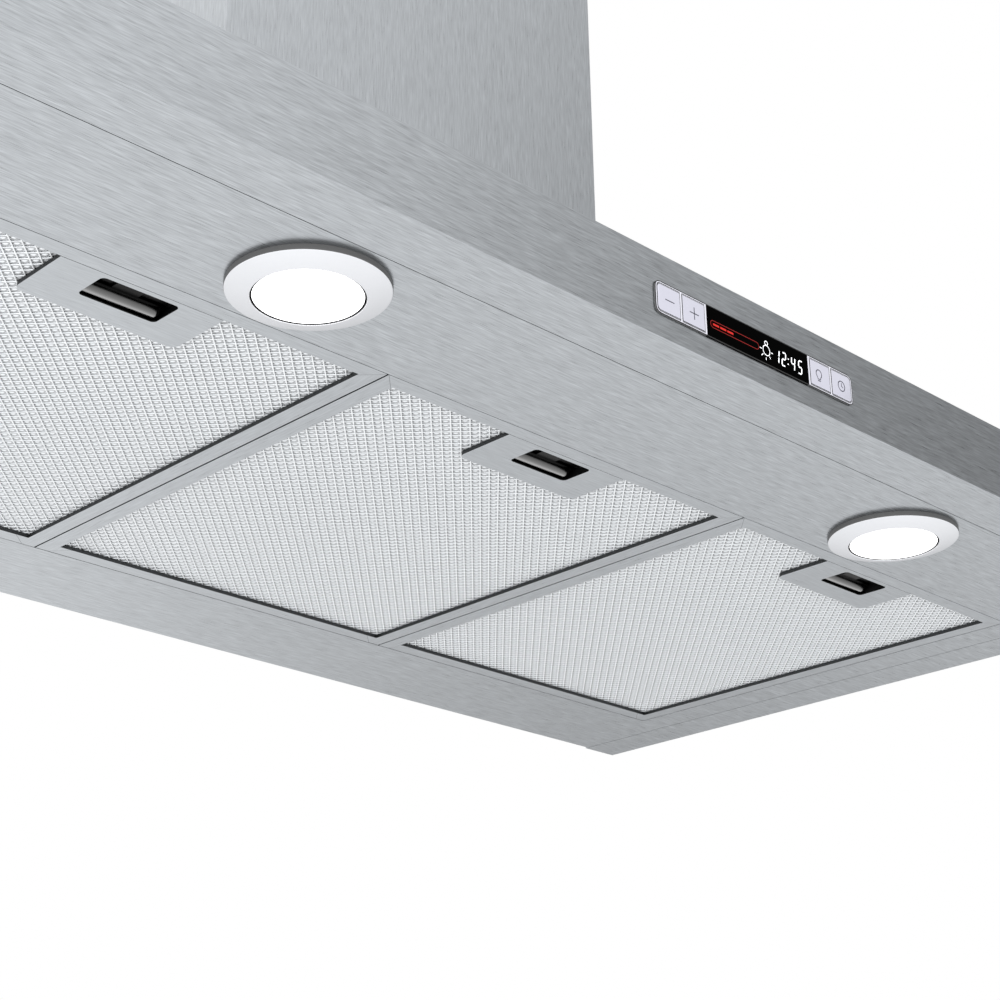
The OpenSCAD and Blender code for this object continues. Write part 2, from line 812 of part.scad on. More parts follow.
// Outline of the strip in X and Z, drawn in by inset
module strip_outline(inset) {
    x = strip_w / 2 - inset;
    z = strip_h / 2 - inset;
    translate([strip_x, strip_z]) round_rect(-x, x, -z, z, strip_r - inset);
}

// Outline of key k in X and Z, grown by g, with outer corners that follow the strip's
module key_outline(k, g) {
    x0 = KEY_X[k] - g;
    x1 = KEY_X[k] + key_w + g;
    z0 = strip_z - strip_in_h / 2 + key_clear - g;
    z1 = strip_z + strip_in_h / 2 - key_clear + g;
    r = strip_r - bezel_edge - key_clear + g;
    left = k == 0 ? r : 0;
    right = k == len(KEY_X) - 1 ? r : 0;
    translate([x0 + left, z0]) square([x1 - x0 - left - right, z1 - z0]);
    if (left + right > 0) round_rect(x0, x1, z0, z1, r);
}

module strip_bezel() {
    y0 = strip_y - bezel_proud - overrun;
    y1 = strip_y + bezel_depth;
    c = key_clear;
    color("gainsboro") in_frame() difference() {
        union() {
            upright(strip_y - bezel_proud, strip_y) strip_outline(0);
            upright(strip_y - seat_gap, y1) strip_outline(rim_w_in + seat_gap / 2);
        }
        for (k = [0:len(KEY_X) - 1]) {
            upright(y0, y1 + overrun) key_outline(k, c);
        }
        span(display_x - c, display_x + display_w + c, y0, y1 + overrun,
            strip_z - strip_in_h / 2, strip_z + strip_in_h / 2);
        span(display_x - c, display_x + display_w + c, y0, strip_y,
            strip_z - strip_h / 2 - overrun, strip_z + strip_h / 2 + overrun);
    }
}

// Window that fills the height of the strip, and a flange behind the rim that keeps it in
module display_window() {
    z0 = strip_z - strip_in_h / 2 + key_clear;
    z1 = strip_z + strip_in_h / 2 - key_clear;
    back = strip_y + bezel_depth;
    color("black") in_frame() {
        span(display_x, display_x + display_w, strip_y - bezel_proud, strip_y,
            strip_z - strip_h / 2, strip_z + strip_h / 2);
        span(display_x, display_x + display_w, strip_y - bezel_proud, back + key_flange, z0, z1);
        span(display_x - key_clear, display_x + display_w + key_clear,
            back, back + key_flange, z0 - key_flange, z1 + key_flange);
    }
}

// A key cap with its stem, and a flange behind the rim that keeps it in
module key_cap(k) {
    x = KEY_X[k];
    z0 = strip_z - strip_in_h / 2 + key_clear;
    z1 = strip_z + strip_in_h / 2 - key_clear;
    back = strip_y + bezel_depth + slide_gap;
    color("lavender") in_frame() {
        upright(strip_y - bezel_proud - key_proud, back + key_flange) key_outline(k, 0);
        span(x - key_flange / 2 + key_clear / 2, x + key_w + key_flange / 2 - key_clear / 2,
            back, back + key_flange, z0 - key_flange, z1 + key_flange);
        translate([x + key_w / 2, 0, strip_z]) y_bar(screw_r, back, key_tip_y);
    }
}

// Tray behind the front face, open to the front, with ears that lie on the face
module control_tray() {
    x0 = strip_x - strip_w / 2 - tray_t;
    x1 = strip_x + strip_w / 2 + tray_t;
    z0 = strip_z - strip_h / 2 - tray_t;
    z1 = strip_z + strip_h / 2 + tray_t;
    color("dimgray") in_frame() difference() {
        union() {
            span(x0, x1, tray_y0, tray_y1, z0, z1);
            span(x0 - tray_lip, x1 + tray_lip, tray_y0, tray_y0 + tray_t, z0, z1);
        }
        span(x0 + tray_t, x1 - tray_t, tray_y0 - overrun, tray_in_y1, z0 + tray_t, z1 - tray_t);
    }
}

// Board with a push switch behind each key and the display module
module control_board() {
    x0 = strip_x - strip_w / 2 + seat_gap;
    x1 = strip_x + strip_w / 2 - seat_gap;
    switch_w = 6;
    color("darkgreen") in_frame() {
        span(x0, x1, board_y, tray_in_y1, strip_z - strip_h / 2 + seat_gap,
            strip_z + strip_h / 2 - seat_gap);
        for (x = KEY_X) {
            span(x + key_w / 2 - switch_w / 2, x + key_w / 2 + switch_w / 2,
                board_y - 2 * board_t, board_y, strip_z - switch_w / 2, strip_z + switch_w / 2);
        }
        span(display_x + key_gap, display_x + display_w - key_gap,
            strip_y + bezel_depth + key_flange, board_y,
            strip_z - strip_in_h / 2 + key_gap, strip_z + strip_in_h / 2 - key_gap);
    }
}

// Blower cabinet, open below, with hook slots in its back and a round outlet in its top
module blower_cabinet() {
    color("lightslategray") in_frame() difference() {
        union() {
            span(-cab_x, cab_x, cab_y0, cab_y1, cab_z0, cab_z1);
            span(-cab_x - cab_flange, cab_x + cab_flange, cab_y0 - cab_flange, cab_y1 + cab_flange,
                cab_z0, cab_z0 + cab_t);
        }
        span(-cab_x + cab_t, cab_x - cab_t, cab_y0 + cab_t, cab_y1 - cab_t,
            cab_z0 - overrun, cab_in_z);
        translate([0, outlet_y, 0]) z_bar(collar_in_r, cab_in_z - overrun, cab_z1 + overrun);
        both_sides() {
            span(hook_distance / 2 - hook_slot_w / 2, hook_distance / 2 + hook_slot_w / 2,
                cab_y1 - cab_t - overrun, cab_y1 + overrun,
                hang_h + hook_arm_z - hook_slot_h, hang_h + hook_arm_z);
            at_cabinet_screws() z_bar(screw_r + screw_clear, -overrun, cab_t + overrun);
        }
        at_collar_screws() z_bar(screw_r + screw_clear, -cab_t - overrun, overrun);
    }
}

// Spiral outline in Y and Z about the fan axis, d inside the outer face, up to a height z_top
function scroll_outline(d, z_top) =
    let (
        start = acos((tongue_y + d) / (scroll_tongue_r - d)),
        turn = 360 - start,
        grow = scroll_r - scroll_tongue_r
    )
    concat(
        [for (k = [0:scroll_steps])
            let (a = start + turn * k / scroll_steps, r = scroll_tongue_r - d + grow * k / scroll_steps)
            [r * cos(a), r * sin(a)]
        ],
        [[scroll_r - d, z_top], [tongue_y + d, z_top]]
    );

// Carries a flat shape drawn in Y and Z along X, between two values
module along_x(x0, x1) {
    translate([x0, 0, 0]) rotate([90, 0, 90]) linear_extrude(height = x1 - x0) children();
}

module blower_scroll() {
    x = scroll_w / 2;
    reach = collar_in_r + scroll_flange;
    color("darkgray") in_frame() difference() {
        union() {
            translate([0, fan_y, fan_z]) along_x(-x, x) polygon(scroll_outline(0, scroll_top));
            span(-reach, reach, outlet_y - reach, outlet_y + reach, cab_in_z - scroll_t, cab_in_z);
        }
        translate([0, fan_y, fan_z]) {
            along_x(-x + scroll_t, x - scroll_t)
                polygon(scroll_outline(scroll_t, scroll_top + overrun));
            x_bar(inlet_r, -x - overrun, x + overrun);
        }
        at_collar_screws() z_bar(screw_r + screw_clear, -cab_t - scroll_t - overrun, 0);
    }
}

// Double-inlet wheel: a middle disc with its hub, two end rings and the blades between them
module fan_wheel() {
    x = wheel_l / 2;
    depth = wheel_r - inlet_r;
    color("slategray") in_frame() translate([0, fan_y, fan_z]) difference() {
        union() {
            x_bar(wheel_r, -disc_t / 2, disc_t / 2);
            x_bar(hub_r, -hub_l, hub_l);
            for (side = [-1, 1]) {
                translate([side * (x - disc_t / 2), 0, 0]) difference() {
                    x_bar(wheel_r, -disc_t / 2, disc_t / 2);
                    x_bar(inlet_r, -disc_t, disc_t);
                }
            }
            for (k = [0:blade_count - 1]) {
                rotate([k * 360 / blade_count, 0, 0])
                    translate([0, inlet_r + depth / 2, 0]) rotate([blade_tilt, 0, 0])
                        span(-x + disc_t / 2, x - disc_t / 2, -depth / 2, depth / 2,
                            -blade_t / 2, blade_t / 2);
            }
        }
        x_bar(shaft_r, -hub_l - overrun, hub_l + overrun);
    }
}

module motor_shaft() {
    color("silver") in_frame() translate([0, fan_y, fan_z]) x_bar(shaft_r, shaft_x0, shaft_x1);
}

module motor() {
    color("darkslategray") in_frame() translate([0, fan_y, fan_z]) difference() {
        union() {
            x_bar(motor_r, motor_x0 + hub_l, motor_x1);
            x_bar(hub_r, motor_x0, motor_x0 + hub_l);
        }
        x_bar(shaft_r + shaft_clear, motor_x0 - overrun, shaft_x1 + slide_gap);
    }
}

// Spider over the right inlet: a rim on the scroll, three arms and a disc that the motor bolts to
module motor_bracket() {
    x0 = scroll_w / 2;
    x1 = x0 + spider_t;
    color("dimgray") in_frame() translate([0, fan_y, fan_z]) {
        difference() {
            x_bar(spider_r, x0, x1);
            x_bar(inlet_r + seat_gap, x0 - overrun, x1 + overrun);
        }
        x_bar(motor_r * 0.7, x0, x1);
        for (a = [0:120:240]) {
            rotate([a, 0, 0]) span(x0, x1, motor_r / 2, inlet_r + scroll_flange / 2,
                -arm_w / 2, arm_w / 2);
        }
    }
}

// Outlet: a flanged collar with a stop rim, two half-round flaps and their common spindle
module outlet_collar() {
    rim_z1 = flap_z0 - slide_gap;
    color("dimgray") in_frame() difference() {
        translate([0, outlet_y, 0]) difference() {
            union() {
                z_bar(collar_r + collar_flange, collar_z0, collar_z0 + collar_t);
                z_bar(collar_r, collar_z0, collar_z1);
            }
            z_bar(collar_in_r - rim_w, collar_z0 - overrun, rim_z1 + overrun);
            z_bar(collar_in_r, rim_z1, collar_z1 + overrun);
            z_bar(collar_in_r, collar_z0 - overrun, rim_z1 - collar_t);
            translate([0, 0, spindle_z])
                x_bar(spindle_r, -collar_r + collar_t / 3, collar_r - collar_t / 3);
        }
        at_collar_screws() z_bar(screw_r + screw_clear, -overrun, collar_t + overrun);
    }
}

// A flap: side is -1 for the front one and 1 for the rear one
module flap(side) {
    hub_x = FLAP_HUB_X[side < 0 ? 0 : 1];
    reach = 2 * flap_hub_r;
    color("lightslategray") in_frame() translate([0, outlet_y, 0])
        mirror([0, side < 0 ? 1 : 0, 0]) {
            difference() {
                translate([0, 0, flap_z0]) z_bar(flap_r, 0, flap_t);
                span(-collar_r, collar_r, -collar_r, flap_in_y, flap_z0 - overrun,
                    flap_z0 + flap_t + overrun);
            }
            difference() {
                union() for (x = [hub_x - flap_hub_w / 2, -hub_x - flap_hub_w / 2]) {
                    translate([0, 0, spindle_z]) x_bar(flap_hub_r, x, x + flap_hub_w - flap_gap);
                    span(x, x + flap_hub_w - flap_gap, 0, reach, flap_z0, flap_z0 + flap_t);
                }
                translate([0, 0, spindle_z])
                    x_bar(spindle_r + shaft_clear, -collar_r, collar_r);
            }
        }
}

module flap_spindle() {
    x = collar_r - collar_t / 3 - seat_gap;
    color("silver") in_frame() translate([0, outlet_y, spindle_z]) x_bar(spindle_r, -x, x);
}

// Mains connection on top of the cabinet: a box with its lid in front
module terminal_box() {
    x1 = box_x0 + box_w;
    y1 = box_y0 + box_d;
    z1 = cab_z1 + box_h;
    color("gray") in_frame() difference() {
        union() {
            span(box_x0, x1, box_y0 + lid_t, y1, cab_z1, z1);
            span(box_x0 - lid_t, x1 + lid_t, box_y0, box_y0 + lid_t, cab_z1, z1 + lid_t);
        }
        span(box_x0 + lid_t, x1 - lid_t, box_y0 + 2 * lid_t, y1 - lid_t, cab_z1 + lid_t, z1 - lid_t);
        translate([(box_x0 + x1) / 2, (box_y0 + y1) / 2, 0])
            z_bar(2 * inlet_bore_r, z1 - lid_t - overrun, z1 + overrun);
    }
}

// Gland in the top of the box: nut, threaded body and dome, with the bore for the cable
module cable_gland() {
    nut_l = 5;
    color("dimgray") in_frame()
        translate([box_x0 + box_w / 2, box_y0 + box_d / 2, cab_z1 + box_h]) difference() {
            union() {
                z_bar(2 * inlet_bore_r - seat_gap, -lid_t - nut_l, nut_l);
                rotate([0, 0, 30]) cylinder(r = 2.8 * inlet_bore_r, h = nut_l, $fn = 6);
                z_bar(1.9 * inlet_bore_r, nut_l, 2.4 * nut_l);
                z_bar(2.6 * inlet_bore_r, -lid_t - nut_l, -lid_t - seat_gap);
            }
            z_bar(inlet_bore_r, -lid_t - 2 * nut_l, 3 * nut_l);
        }
}

// Chimney covers, open to the wall

// Three walls and two rear returns, w by d outside, with the returns kept clear of the wall by y1
module cover(w, d, y1, z0, z1, return_z1) {
    x = w / 2;
    span(-x, x, -d, -d + chimney_t, z0, z1);
    both_sides() {
        span(x - chimney_t, x, -d, y1, z0, z1);
        span(x - return_w, x, y1 - chimney_t, y1, z0, return_z1);
    }
}

module lower_chimney() {
    x = chimney_w / 2;
    color("silver") in_frame() difference() {
        union() {
            cover(chimney_w, chimney_d, 0, lower_z0, lower_z1, lower_z1);
            both_sides() at_chimney_screws()
                span(foot_screw_in - foot_w, foot_screw_in, -foot_l / 2, foot_l / 2, 0, chimney_t);
        }
        both_sides() at_chimney_screws() z_bar(screw_r + screw_clear, -overrun, chimney_t + overrun);
    }
}

module upper_chimney() {
    y1 = -chimney_t - cover_gap;
    first = -(upper_d + (vent_count - 1) * vent_pitch) / 2;
    color("silver") in_frame() difference() {
        cover(upper_w, upper_d, y1, upper_z0, upper_z1, top_bracket_z0 - vent_pitch);
        for (k = [0:vent_count - 1]) {
            y = first + k * vent_pitch;
            span(-upper_w, upper_w, y, y + vent_w, upper_z1 - vent_top - vent_l, upper_z1 - vent_top);
        }
        both_sides() at_bracket_screws() x_bar(screw_r + screw_clear, -2 * chimney_t, overrun);
    }
}

// Strip against the wall with two arms that carry the top of the upper cover
module chimney_bracket() {
    x = upper_w / 2 - chimney_t - seat_gap;
    color("lightslategray") in_frame() difference() {
        union() {
            span(-x, x, -hook_t, 0, top_bracket_z0, top_bracket_z1);
            both_sides() span(x - hook_t, x, -top_arm_l, 0, top_bracket_z0, top_bracket_z1);
        }
        for (s = [-1, 1]) {
            translate([s * top_screw_span / 2, 0, (top_bracket_z0 + top_bracket_z1) / 2])
                y_bar(top_hole_r, -hook_t - overrun, overrun);
        }
        both_sides() at_bracket_screws()
            x_bar(screw_r + screw_clear, -chimney_t - seat_gap - hook_t - overrun, 0);
    }
}

// Two plates screwed to the wall, each with a hook that carries the cabinet's back
module wall_hooks() {
    lip_y = cab_y1 - cab_t - hook_gap;
    top = hang_h + hook_arm_z;
    color("lightslategray") in_frame() both_sides() translate([hook_distance / 2, 0, 0]) {
        difference() {
            span(-hook_w / 2, hook_w / 2, -hook_t, 0, hang_h - hook_plate_h / 2,
                hang_h + hook_plate_h / 2);
            for (s = [-1, 1]) {
                translate([0, 0, hang_h + s * hook_screw_span / 2])
                    y_bar(wall_hole_r, -hook_t - overrun, overrun);
            }
        }
        span(-hook_arm_w / 2, hook_arm_w / 2, lip_y - hook_t, 0, top - hook_t, top);
        span(-hook_arm_w / 2, hook_arm_w / 2, lip_y - hook_t, lip_y, top - hook_t, top + hook_lip_h);
    }
}

// Screws, each group one node

module screw(length) {
    z_bar(screw_r, -length, 0);
    z_bar(head_r, 0, head_h);
}

module panel_screws() {
    color("gainsboro") in_frame() both_sides() at_panel_screws() rotate([0, -90, 0])
        screw(2 * sheet_t + seam + head_h);
}

module cabinet_screws() {
    color("gainsboro") in_frame() both_sides() at_cabinet_screws()
        translate([0, 0, cab_t]) screw(cab_t + 2 * sheet_t);
}

module collar_screws() {
    color("gainsboro") in_frame() at_collar_screws()
        translate([0, 0, collar_t]) screw(collar_t + cab_t + 2 * scroll_t);
}

module chimney_screws() {
    color("gainsboro") in_frame() both_sides() at_chimney_screws()
        translate([0, 0, chimney_t]) screw(chimney_t + 2 * sheet_t);
}

module bracket_screws() {
    color("gainsboro") in_frame() both_sides() at_bracket_screws() rotate([0, 90, 0])
        screw(arm_screw_l);
}

canopy_shell();
canopy_top();
back_panel();
underside_panel();
filter_frame(-1);  // filter_left_frame
filter_frame(0);  // filter_middle_frame
filter_frame(1);  // filter_right_frame
filter_mesh(-1);  // filter_left_mesh
filter_mesh(0);  // filter_middle_mesh
filter_mesh(1);  // filter_right_mesh
filter_core(-1);  // filter_left_core
filter_core(0);  // filter_middle_core
filter_core(1);  // filter_right_core
filter_handle(-1);  // filter_left_handle
filter_handle(0);  // filter_middle_handle
filter_handle(1);  // filter_right_handle
filter_latch(-1);  // filter_left_latch
filter_latch(0);  // filter_middle_latch
filter_latch(1);  // filter_right_latch
filter_spring(-1);  // filter_left_spring
filter_spring(0);  // filter_middle_spring
filter_spring(1);  // filter_right_spring
lamp_ring(-1);  // lamp_left_ring
lamp_ring(1);  // lamp_right_ring
lamp_lens(-1);  // lamp_left_lens
lamp_lens(1);  // lamp_right_lens
lamp_body(-1);  // lamp_left_body
lamp_body(1);  // lamp_right_body
lamp_clips();
lamp_driver();
strip_bezel();
display_window();
key_cap(0);  // key_minus
key_cap(1);  // key_plus
key_cap(2);  // key_light
key_cap(3);  // key_timer
control_tray();
control_board();
blower_cabinet();
blower_scroll();
fan_wheel();
motor();
motor_shaft();
motor_bracket();
outlet_collar();
flap(-1);  // flap_front
flap(1);  // flap_rear
flap_spindle();
terminal_box();
cable_gland();
lower_chimney();
upper_chimney();
chimney_bracket();
wall_hooks();
panel_screws();
cabinet_screws();
collar_screws();
chimney_screws();
bracket_screws();
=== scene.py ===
# %% [markdown]
# # A slim range hood, seen from below
# The hood is a flat steel box that hangs on the wall. From below it shows its front face with a key strip,
# two lamps and three grease filters. The folded sheet, the blower and the chimney come from the packed
# frame at their real size. This lesson gives each of them its finish, rounds the edges that a press
# brake rounds, and makes what the frame leaves plain: the woven filter mesh, the lamps and the icons.

# %% Load the fixed frame
import json
import math

import bmesh
import bpy
import numpy as np
from mathutils import Matrix, Vector

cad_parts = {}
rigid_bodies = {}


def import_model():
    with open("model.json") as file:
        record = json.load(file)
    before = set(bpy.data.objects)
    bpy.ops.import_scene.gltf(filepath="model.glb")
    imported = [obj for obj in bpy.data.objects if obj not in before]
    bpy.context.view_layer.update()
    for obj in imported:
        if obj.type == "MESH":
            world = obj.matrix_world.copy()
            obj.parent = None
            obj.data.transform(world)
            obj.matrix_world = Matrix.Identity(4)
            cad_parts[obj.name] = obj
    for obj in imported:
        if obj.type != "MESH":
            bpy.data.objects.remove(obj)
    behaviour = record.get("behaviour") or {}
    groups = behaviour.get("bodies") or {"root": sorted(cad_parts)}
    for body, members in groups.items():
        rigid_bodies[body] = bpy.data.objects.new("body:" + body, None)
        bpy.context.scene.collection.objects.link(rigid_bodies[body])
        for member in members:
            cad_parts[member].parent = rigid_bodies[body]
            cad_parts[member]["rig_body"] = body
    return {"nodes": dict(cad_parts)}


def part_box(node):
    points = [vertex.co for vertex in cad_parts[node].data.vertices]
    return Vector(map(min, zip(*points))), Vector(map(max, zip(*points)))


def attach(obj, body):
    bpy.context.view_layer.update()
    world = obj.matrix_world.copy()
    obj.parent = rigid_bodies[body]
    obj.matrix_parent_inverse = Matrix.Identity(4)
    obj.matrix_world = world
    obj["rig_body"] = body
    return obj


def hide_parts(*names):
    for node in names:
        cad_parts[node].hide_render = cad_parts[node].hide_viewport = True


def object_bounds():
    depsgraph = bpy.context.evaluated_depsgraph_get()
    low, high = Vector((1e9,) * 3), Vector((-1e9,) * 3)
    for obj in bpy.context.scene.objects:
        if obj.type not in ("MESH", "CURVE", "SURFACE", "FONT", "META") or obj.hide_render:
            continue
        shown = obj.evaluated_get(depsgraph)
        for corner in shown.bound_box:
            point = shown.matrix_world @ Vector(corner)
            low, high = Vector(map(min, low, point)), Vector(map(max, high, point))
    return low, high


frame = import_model()
nodes = frame["nodes"]
cad_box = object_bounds()
print("nodes", len(nodes), "box", [round(v, 4) for corner in cad_box for v in corner])

# %% [markdown]
# ## Where everything is
# The frame's origin is on the wall, in the middle of the wall screws, so the underside lies below zero.
# Measures that the pieces share are read from the boxes of the nodes that carry them.

# %% Shared places
MM = 0.001
WIDTH_AXIS, DEPTH_AXIS, HEIGHT_AXIS = range(3)
canopy_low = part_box("canopy_shell")[0]
underside_z = canopy_low.z
front_y = canopy_low.y
SIDES = ("left", "middle", "right")
filter_box = {side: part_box(f"filter_{side}_frame") for side in SIDES}
filter_x = {side: (low.x + high.x) / 2 for side, (low, high) in filter_box.items()}
filter_y = (filter_box["middle"][0].y + filter_box["middle"][1].y) / 2
filter_pitch = filter_x["right"] - filter_x["middle"]
print("underside at", round(underside_z, 4), "filters every", round(filter_pitch, 4))

# %% [markdown]
# ## Camera
# The photograph looks up from the front left, with the horizon far below the picture. The camera's place
# and heading were worked out from the straight edges of the canopy, and the small shift puts the
# picture's centre where the photograph was cropped.

# %% Camera
CAMERA_PLACE = Vector((-0.6743, -1.0034, -0.6039))
HEADING = math.radians(47.13)
PITCH = math.radians(22.53)
LENS = 70.17
SENSOR_WIDTH = 36
PICTURE_SHIFT = 0.0665


def add_camera():
    """A camera from its heading, turned left from +X, and its pitch above the horizon."""
    level = Vector((math.cos(HEADING), math.sin(HEADING), 0))
    up = Vector((0, 0, 1))
    right = level.cross(up)
    forward = math.cos(PITCH) * level + math.sin(PITCH) * up
    above = right.cross(forward)
    camera = bpy.data.objects.new("camera", bpy.data.cameras.new("camera"))
    camera.data.lens = LENS
    camera.data.sensor_width = SENSOR_WIDTH
    camera.data.shift_x = PICTURE_SHIFT
    camera.data.clip_start = 0.01
    turn = Matrix((right, above, -forward)).transposed().to_4x4()
    camera.matrix_world = Matrix.Translation(CAMERA_PLACE) @ turn
    bpy.context.scene.collection.objects.link(camera)
    bpy.context.scene.camera = camera
    return camera


camera = add_camera()
print("camera at", [round(v, 3) for v in camera.location])

# %% [markdown]
# ## Shader maths
# A finish is easier to read as an expression than as a web of nodes. One small class wraps a socket and
# turns + - * / into Math nodes. Every other node comes from one method that takes the node's type,
# its settings and the values or links of its sockets.

# %% Numbers that change over a surface


class Amount:
    """A number that changes over the surface: the output socket of a node."""

    def __init__(self, finish, socket):
        self.finish, self.socket = finish, socket

    def math(self, operation, other=0.0, flipped=False):
        """A Math node on this amount and another, or with the other first."""
        pair = (other, self) if flipped else (self, other)
        return self.finish.node("ShaderNodeMath", {"operation": operation}, dict(enumerate(pair)))

    def __add__(self, other):
        return self.math("ADD", other)

    def __sub__(self, other):
        return self.math("SUBTRACT", other)

    def __rsub__(self, other):
        return self.math("SUBTRACT", other, flipped=True)

    def __mul__(self, other):
        return self.math("MULTIPLY", other)

    def __truediv__(self, other):
        return self.math("DIVIDE", other)

    def __lt__(self, other):
        return self.math("LESS_THAN", other)

    def __gt__(self, other):
        return self.math("GREATER_THAN", other)

    def __abs__(self):
        return self.math("ABSOLUTE")

    __radd__ = __add__
    __rmul__ = __mul__


print("operators ready")

# %% [markdown]
# A finish is a material with one Principled shader. Patterns read the piece's own coordinates, so they ride
# with the piece. The Mix node has a set of sockets for each kind of value, and its colours have the
# numbers below.

# %% Nodes and finishes
MIX_FIRST, MIX_SECOND, MIX_RESULT = 6, 7, 2


def grey(value, blue=0.0):
    """A grey colour with a little more blue and a little less red."""
    return (value * (1 - blue), value, value * (1 + blue), 1)


class Nodes:
    """The node tree of a material or of the world."""

    def __init__(self, tree):
        self.tree = tree

    def node(self, kind, settings=None, sockets=None, out=0):
        """Adds a node. Settings go first, a ramp's stops among them, then the values or links."""
        made = self.tree.nodes.new(kind)
        for key, value in (settings or {}).items():
            if key == "stops":
                ramp = made.color_ramp
                while len(ramp.elements) < len(value):
                    ramp.elements.new(0.5)
                for stop, (place, colour) in zip(ramp.elements, value):
                    stop.position, stop.color = place, colour
            else:
                setattr(made, key, value)
        for key, value in (sockets or {}).items():
            if isinstance(value, Amount):
                self.tree.links.new(value.socket, made.inputs[key])
            else:
                made.inputs[key].default_value = value
        return Amount(self, made.outputs[out])

    def split(self, vector):
        """The three numbers of a vector."""
        return [self.node("ShaderNodeSeparateXYZ", {}, {"Vector": vector}, out=axis) for axis in range(3)]


class Finish(Nodes):
    """A material with one Principled shader. Settings that are the same all over go straight to it."""

    def __init__(self, name, **fixed):
        self.material = bpy.data.materials.new(name)
        self.material.use_nodes = True
        super().__init__(self.material.node_tree)
        self.shader = self.tree.nodes["Principled BSDF"]
        for key, value in fixed.items():
            self.shader.inputs[key.replace("_", " ")].default_value = value

    def drive(self, **links):
        """Links what changes over the surface to the shader's own sockets."""
        for key, value in links.items():
            self.tree.links.new(value.socket, self.shader.inputs[key.replace("_", " ")])
        return self.material

    def place(self, scale=1.0, shift=0.0):
        """The piece's own coordinates in metres, stretched and shifted by one number or by one per axis."""
        own = self.node("ShaderNodeTexCoord", out="Object")
        every = np.ones(3)
        return self.node("ShaderNodeMapping", {}, {
            "Vector": own, "Scale": Vector(every * scale), "Location": Vector(every * shift)})

    def noise(self, scale, detail=2.0, shift=0.0):
        """Noise around 0, from about -0.5 to 0.5, with a number of features per metre, or one per axis."""
        where = self.place(scale, shift)
        return self.node("ShaderNodeTexNoise", {}, {"Vector": where, "Scale": 1.0, "Detail": detail}) - 0.5

    def multiply(self, first, second):
        """Two colours multiplied."""
        return self.node("ShaderNodeMix", {"data_type": "RGBA", "blend_type": "MULTIPLY"},
                         {"Factor": 1.0, MIX_FIRST: first, MIX_SECOND: second}, out=MIX_RESULT)

    def shade(self, colour, light):
        """A colour made lighter or darker by a number around 1."""
        return self.multiply(colour, self.node("ShaderNodeCombineColor", {}, {0: light, 1: light, 2: light}))

    def ramp(self, stops, amount):
        """A grey that follows an amount from 0 to 1 through stops of (place, value)."""
        return self.node("ShaderNodeValToRGB", {"stops": [(place, grey(value)) for place, value in stops]},
                         {"Fac": amount})

    def bump(self, height, distance, strength=1.0):
        """A normal that follows a height from 0 to 1, which stands for a distance in metres."""
        return self.node("ShaderNodeBump", {}, {"Height": height, "Distance": distance, "Strength": strength})


print("shader helper ready")

# %% [markdown]
# ## Brushed steel
# Brushing leaves short parallel scratches. They are modelled as noise that is stretched about fifteen times
# along the grain, in three sizes: fine scratches, short strokes, and the wider bands that the belt leaves.
# On the canopy the grain runs along its width, and it turns with the sheet at a fold. So the streaks for
# faces that look sideways run along the depth. The face's own direction, not the camera, picks the one.

# %% Brushed steel
# Features per metre across the grain and along it, and the weight of each size of scratch.
GRAIN = [(2200, 110, 0.9), (1000, 70, 1.0), (360, 26, 0.4)]
LAYER_SHIFT = 7.0
STEEL_ROUGH, SCRATCH_ROUGH = 0.31, 0.12


def streaks(finish, axis, across, along, shift):
    """Noise stretched along one axis: few features per metre along it, many across it."""
    scale = [across] * 3
    scale[axis] = along
    return finish.noise(scale, shift=shift)


def grain(finish, axis):
    """Scratches and bands along one axis, around 0: the sum of the three sizes in GRAIN."""
    layers = [streaks(finish, axis, across, along, shift=LAYER_SHIFT * k) * weight
              for k, (across, along, weight) in enumerate(GRAIN)]
    return layers[0] + layers[1] + layers[2]


def facing(finish, axis):
    """1 where the face looks along an axis, 0 elsewhere."""
    normal = finish.node("ShaderNodeTexCoord", out="Normal")
    return abs(finish.split(normal)[axis]) > 0.7


def brushed(name, colour, axis, side_axis=None, contrast=0.70):
    """Steel brushed along an axis. Faces that look sideways take the grain of side_axis."""
    steel = Finish(name, Metallic=1.0)
    lines = grain(steel, axis)
    if side_axis is not None:
        at_side = facing(steel, WIDTH_AXIS)
        lines = lines * (1 - at_side) + grain(steel, side_axis) * at_side
    haze = steel.noise(6, 3.0)
    light = 1 + lines * contrast + haze * 0.04
    rough = STEEL_ROUGH + lines * SCRATCH_ROUGH + haze * 0.05
    normal = steel.bump(lines, 0.03 * MM, 0.5)
    return steel.drive(Base_Color=steel.shade(colour, light), Roughness=rough, Normal=normal)


STEEL, LIGHT_STEEL = grey(0.585, 0.045), grey(0.60, 0.045)
canopy_steel = brushed("canopy_steel", STEEL, WIDTH_AXIS, side_axis=DEPTH_AXIS)
chimney_steel = brushed("chimney_steel", STEEL, HEIGHT_AXIS, contrast=0.50)
handle_steel = brushed("handle_steel", LIGHT_STEEL, WIDTH_AXIS, contrast=0.36)
print("brushed steels", canopy_steel.name, chimney_steel.name, handle_steel.name)

# %% [markdown]
# ## Filter frame steel
# A filter frame is four strips that meet at mitred corners. The grain runs along each strip, so it turns
# a right angle at the corner, and a thin dark line shows the joint. Both come from the distances to the
# nearest side edge and to the nearest front or rear edge: where they are equal, there is the mitre.

# %% Filter frame steel
MITRE_GAP = 0.16 * MM


def from_filter_middle(finish):
    """X and Y in metres from the middle of the nearest filter: the filters lie in a row at a fixed pitch."""
    x, y, _ = finish.split(finish.place())
    along_row = x / filter_pitch
    return (along_row - along_row.math("ROUND")) * filter_pitch, y - filter_y


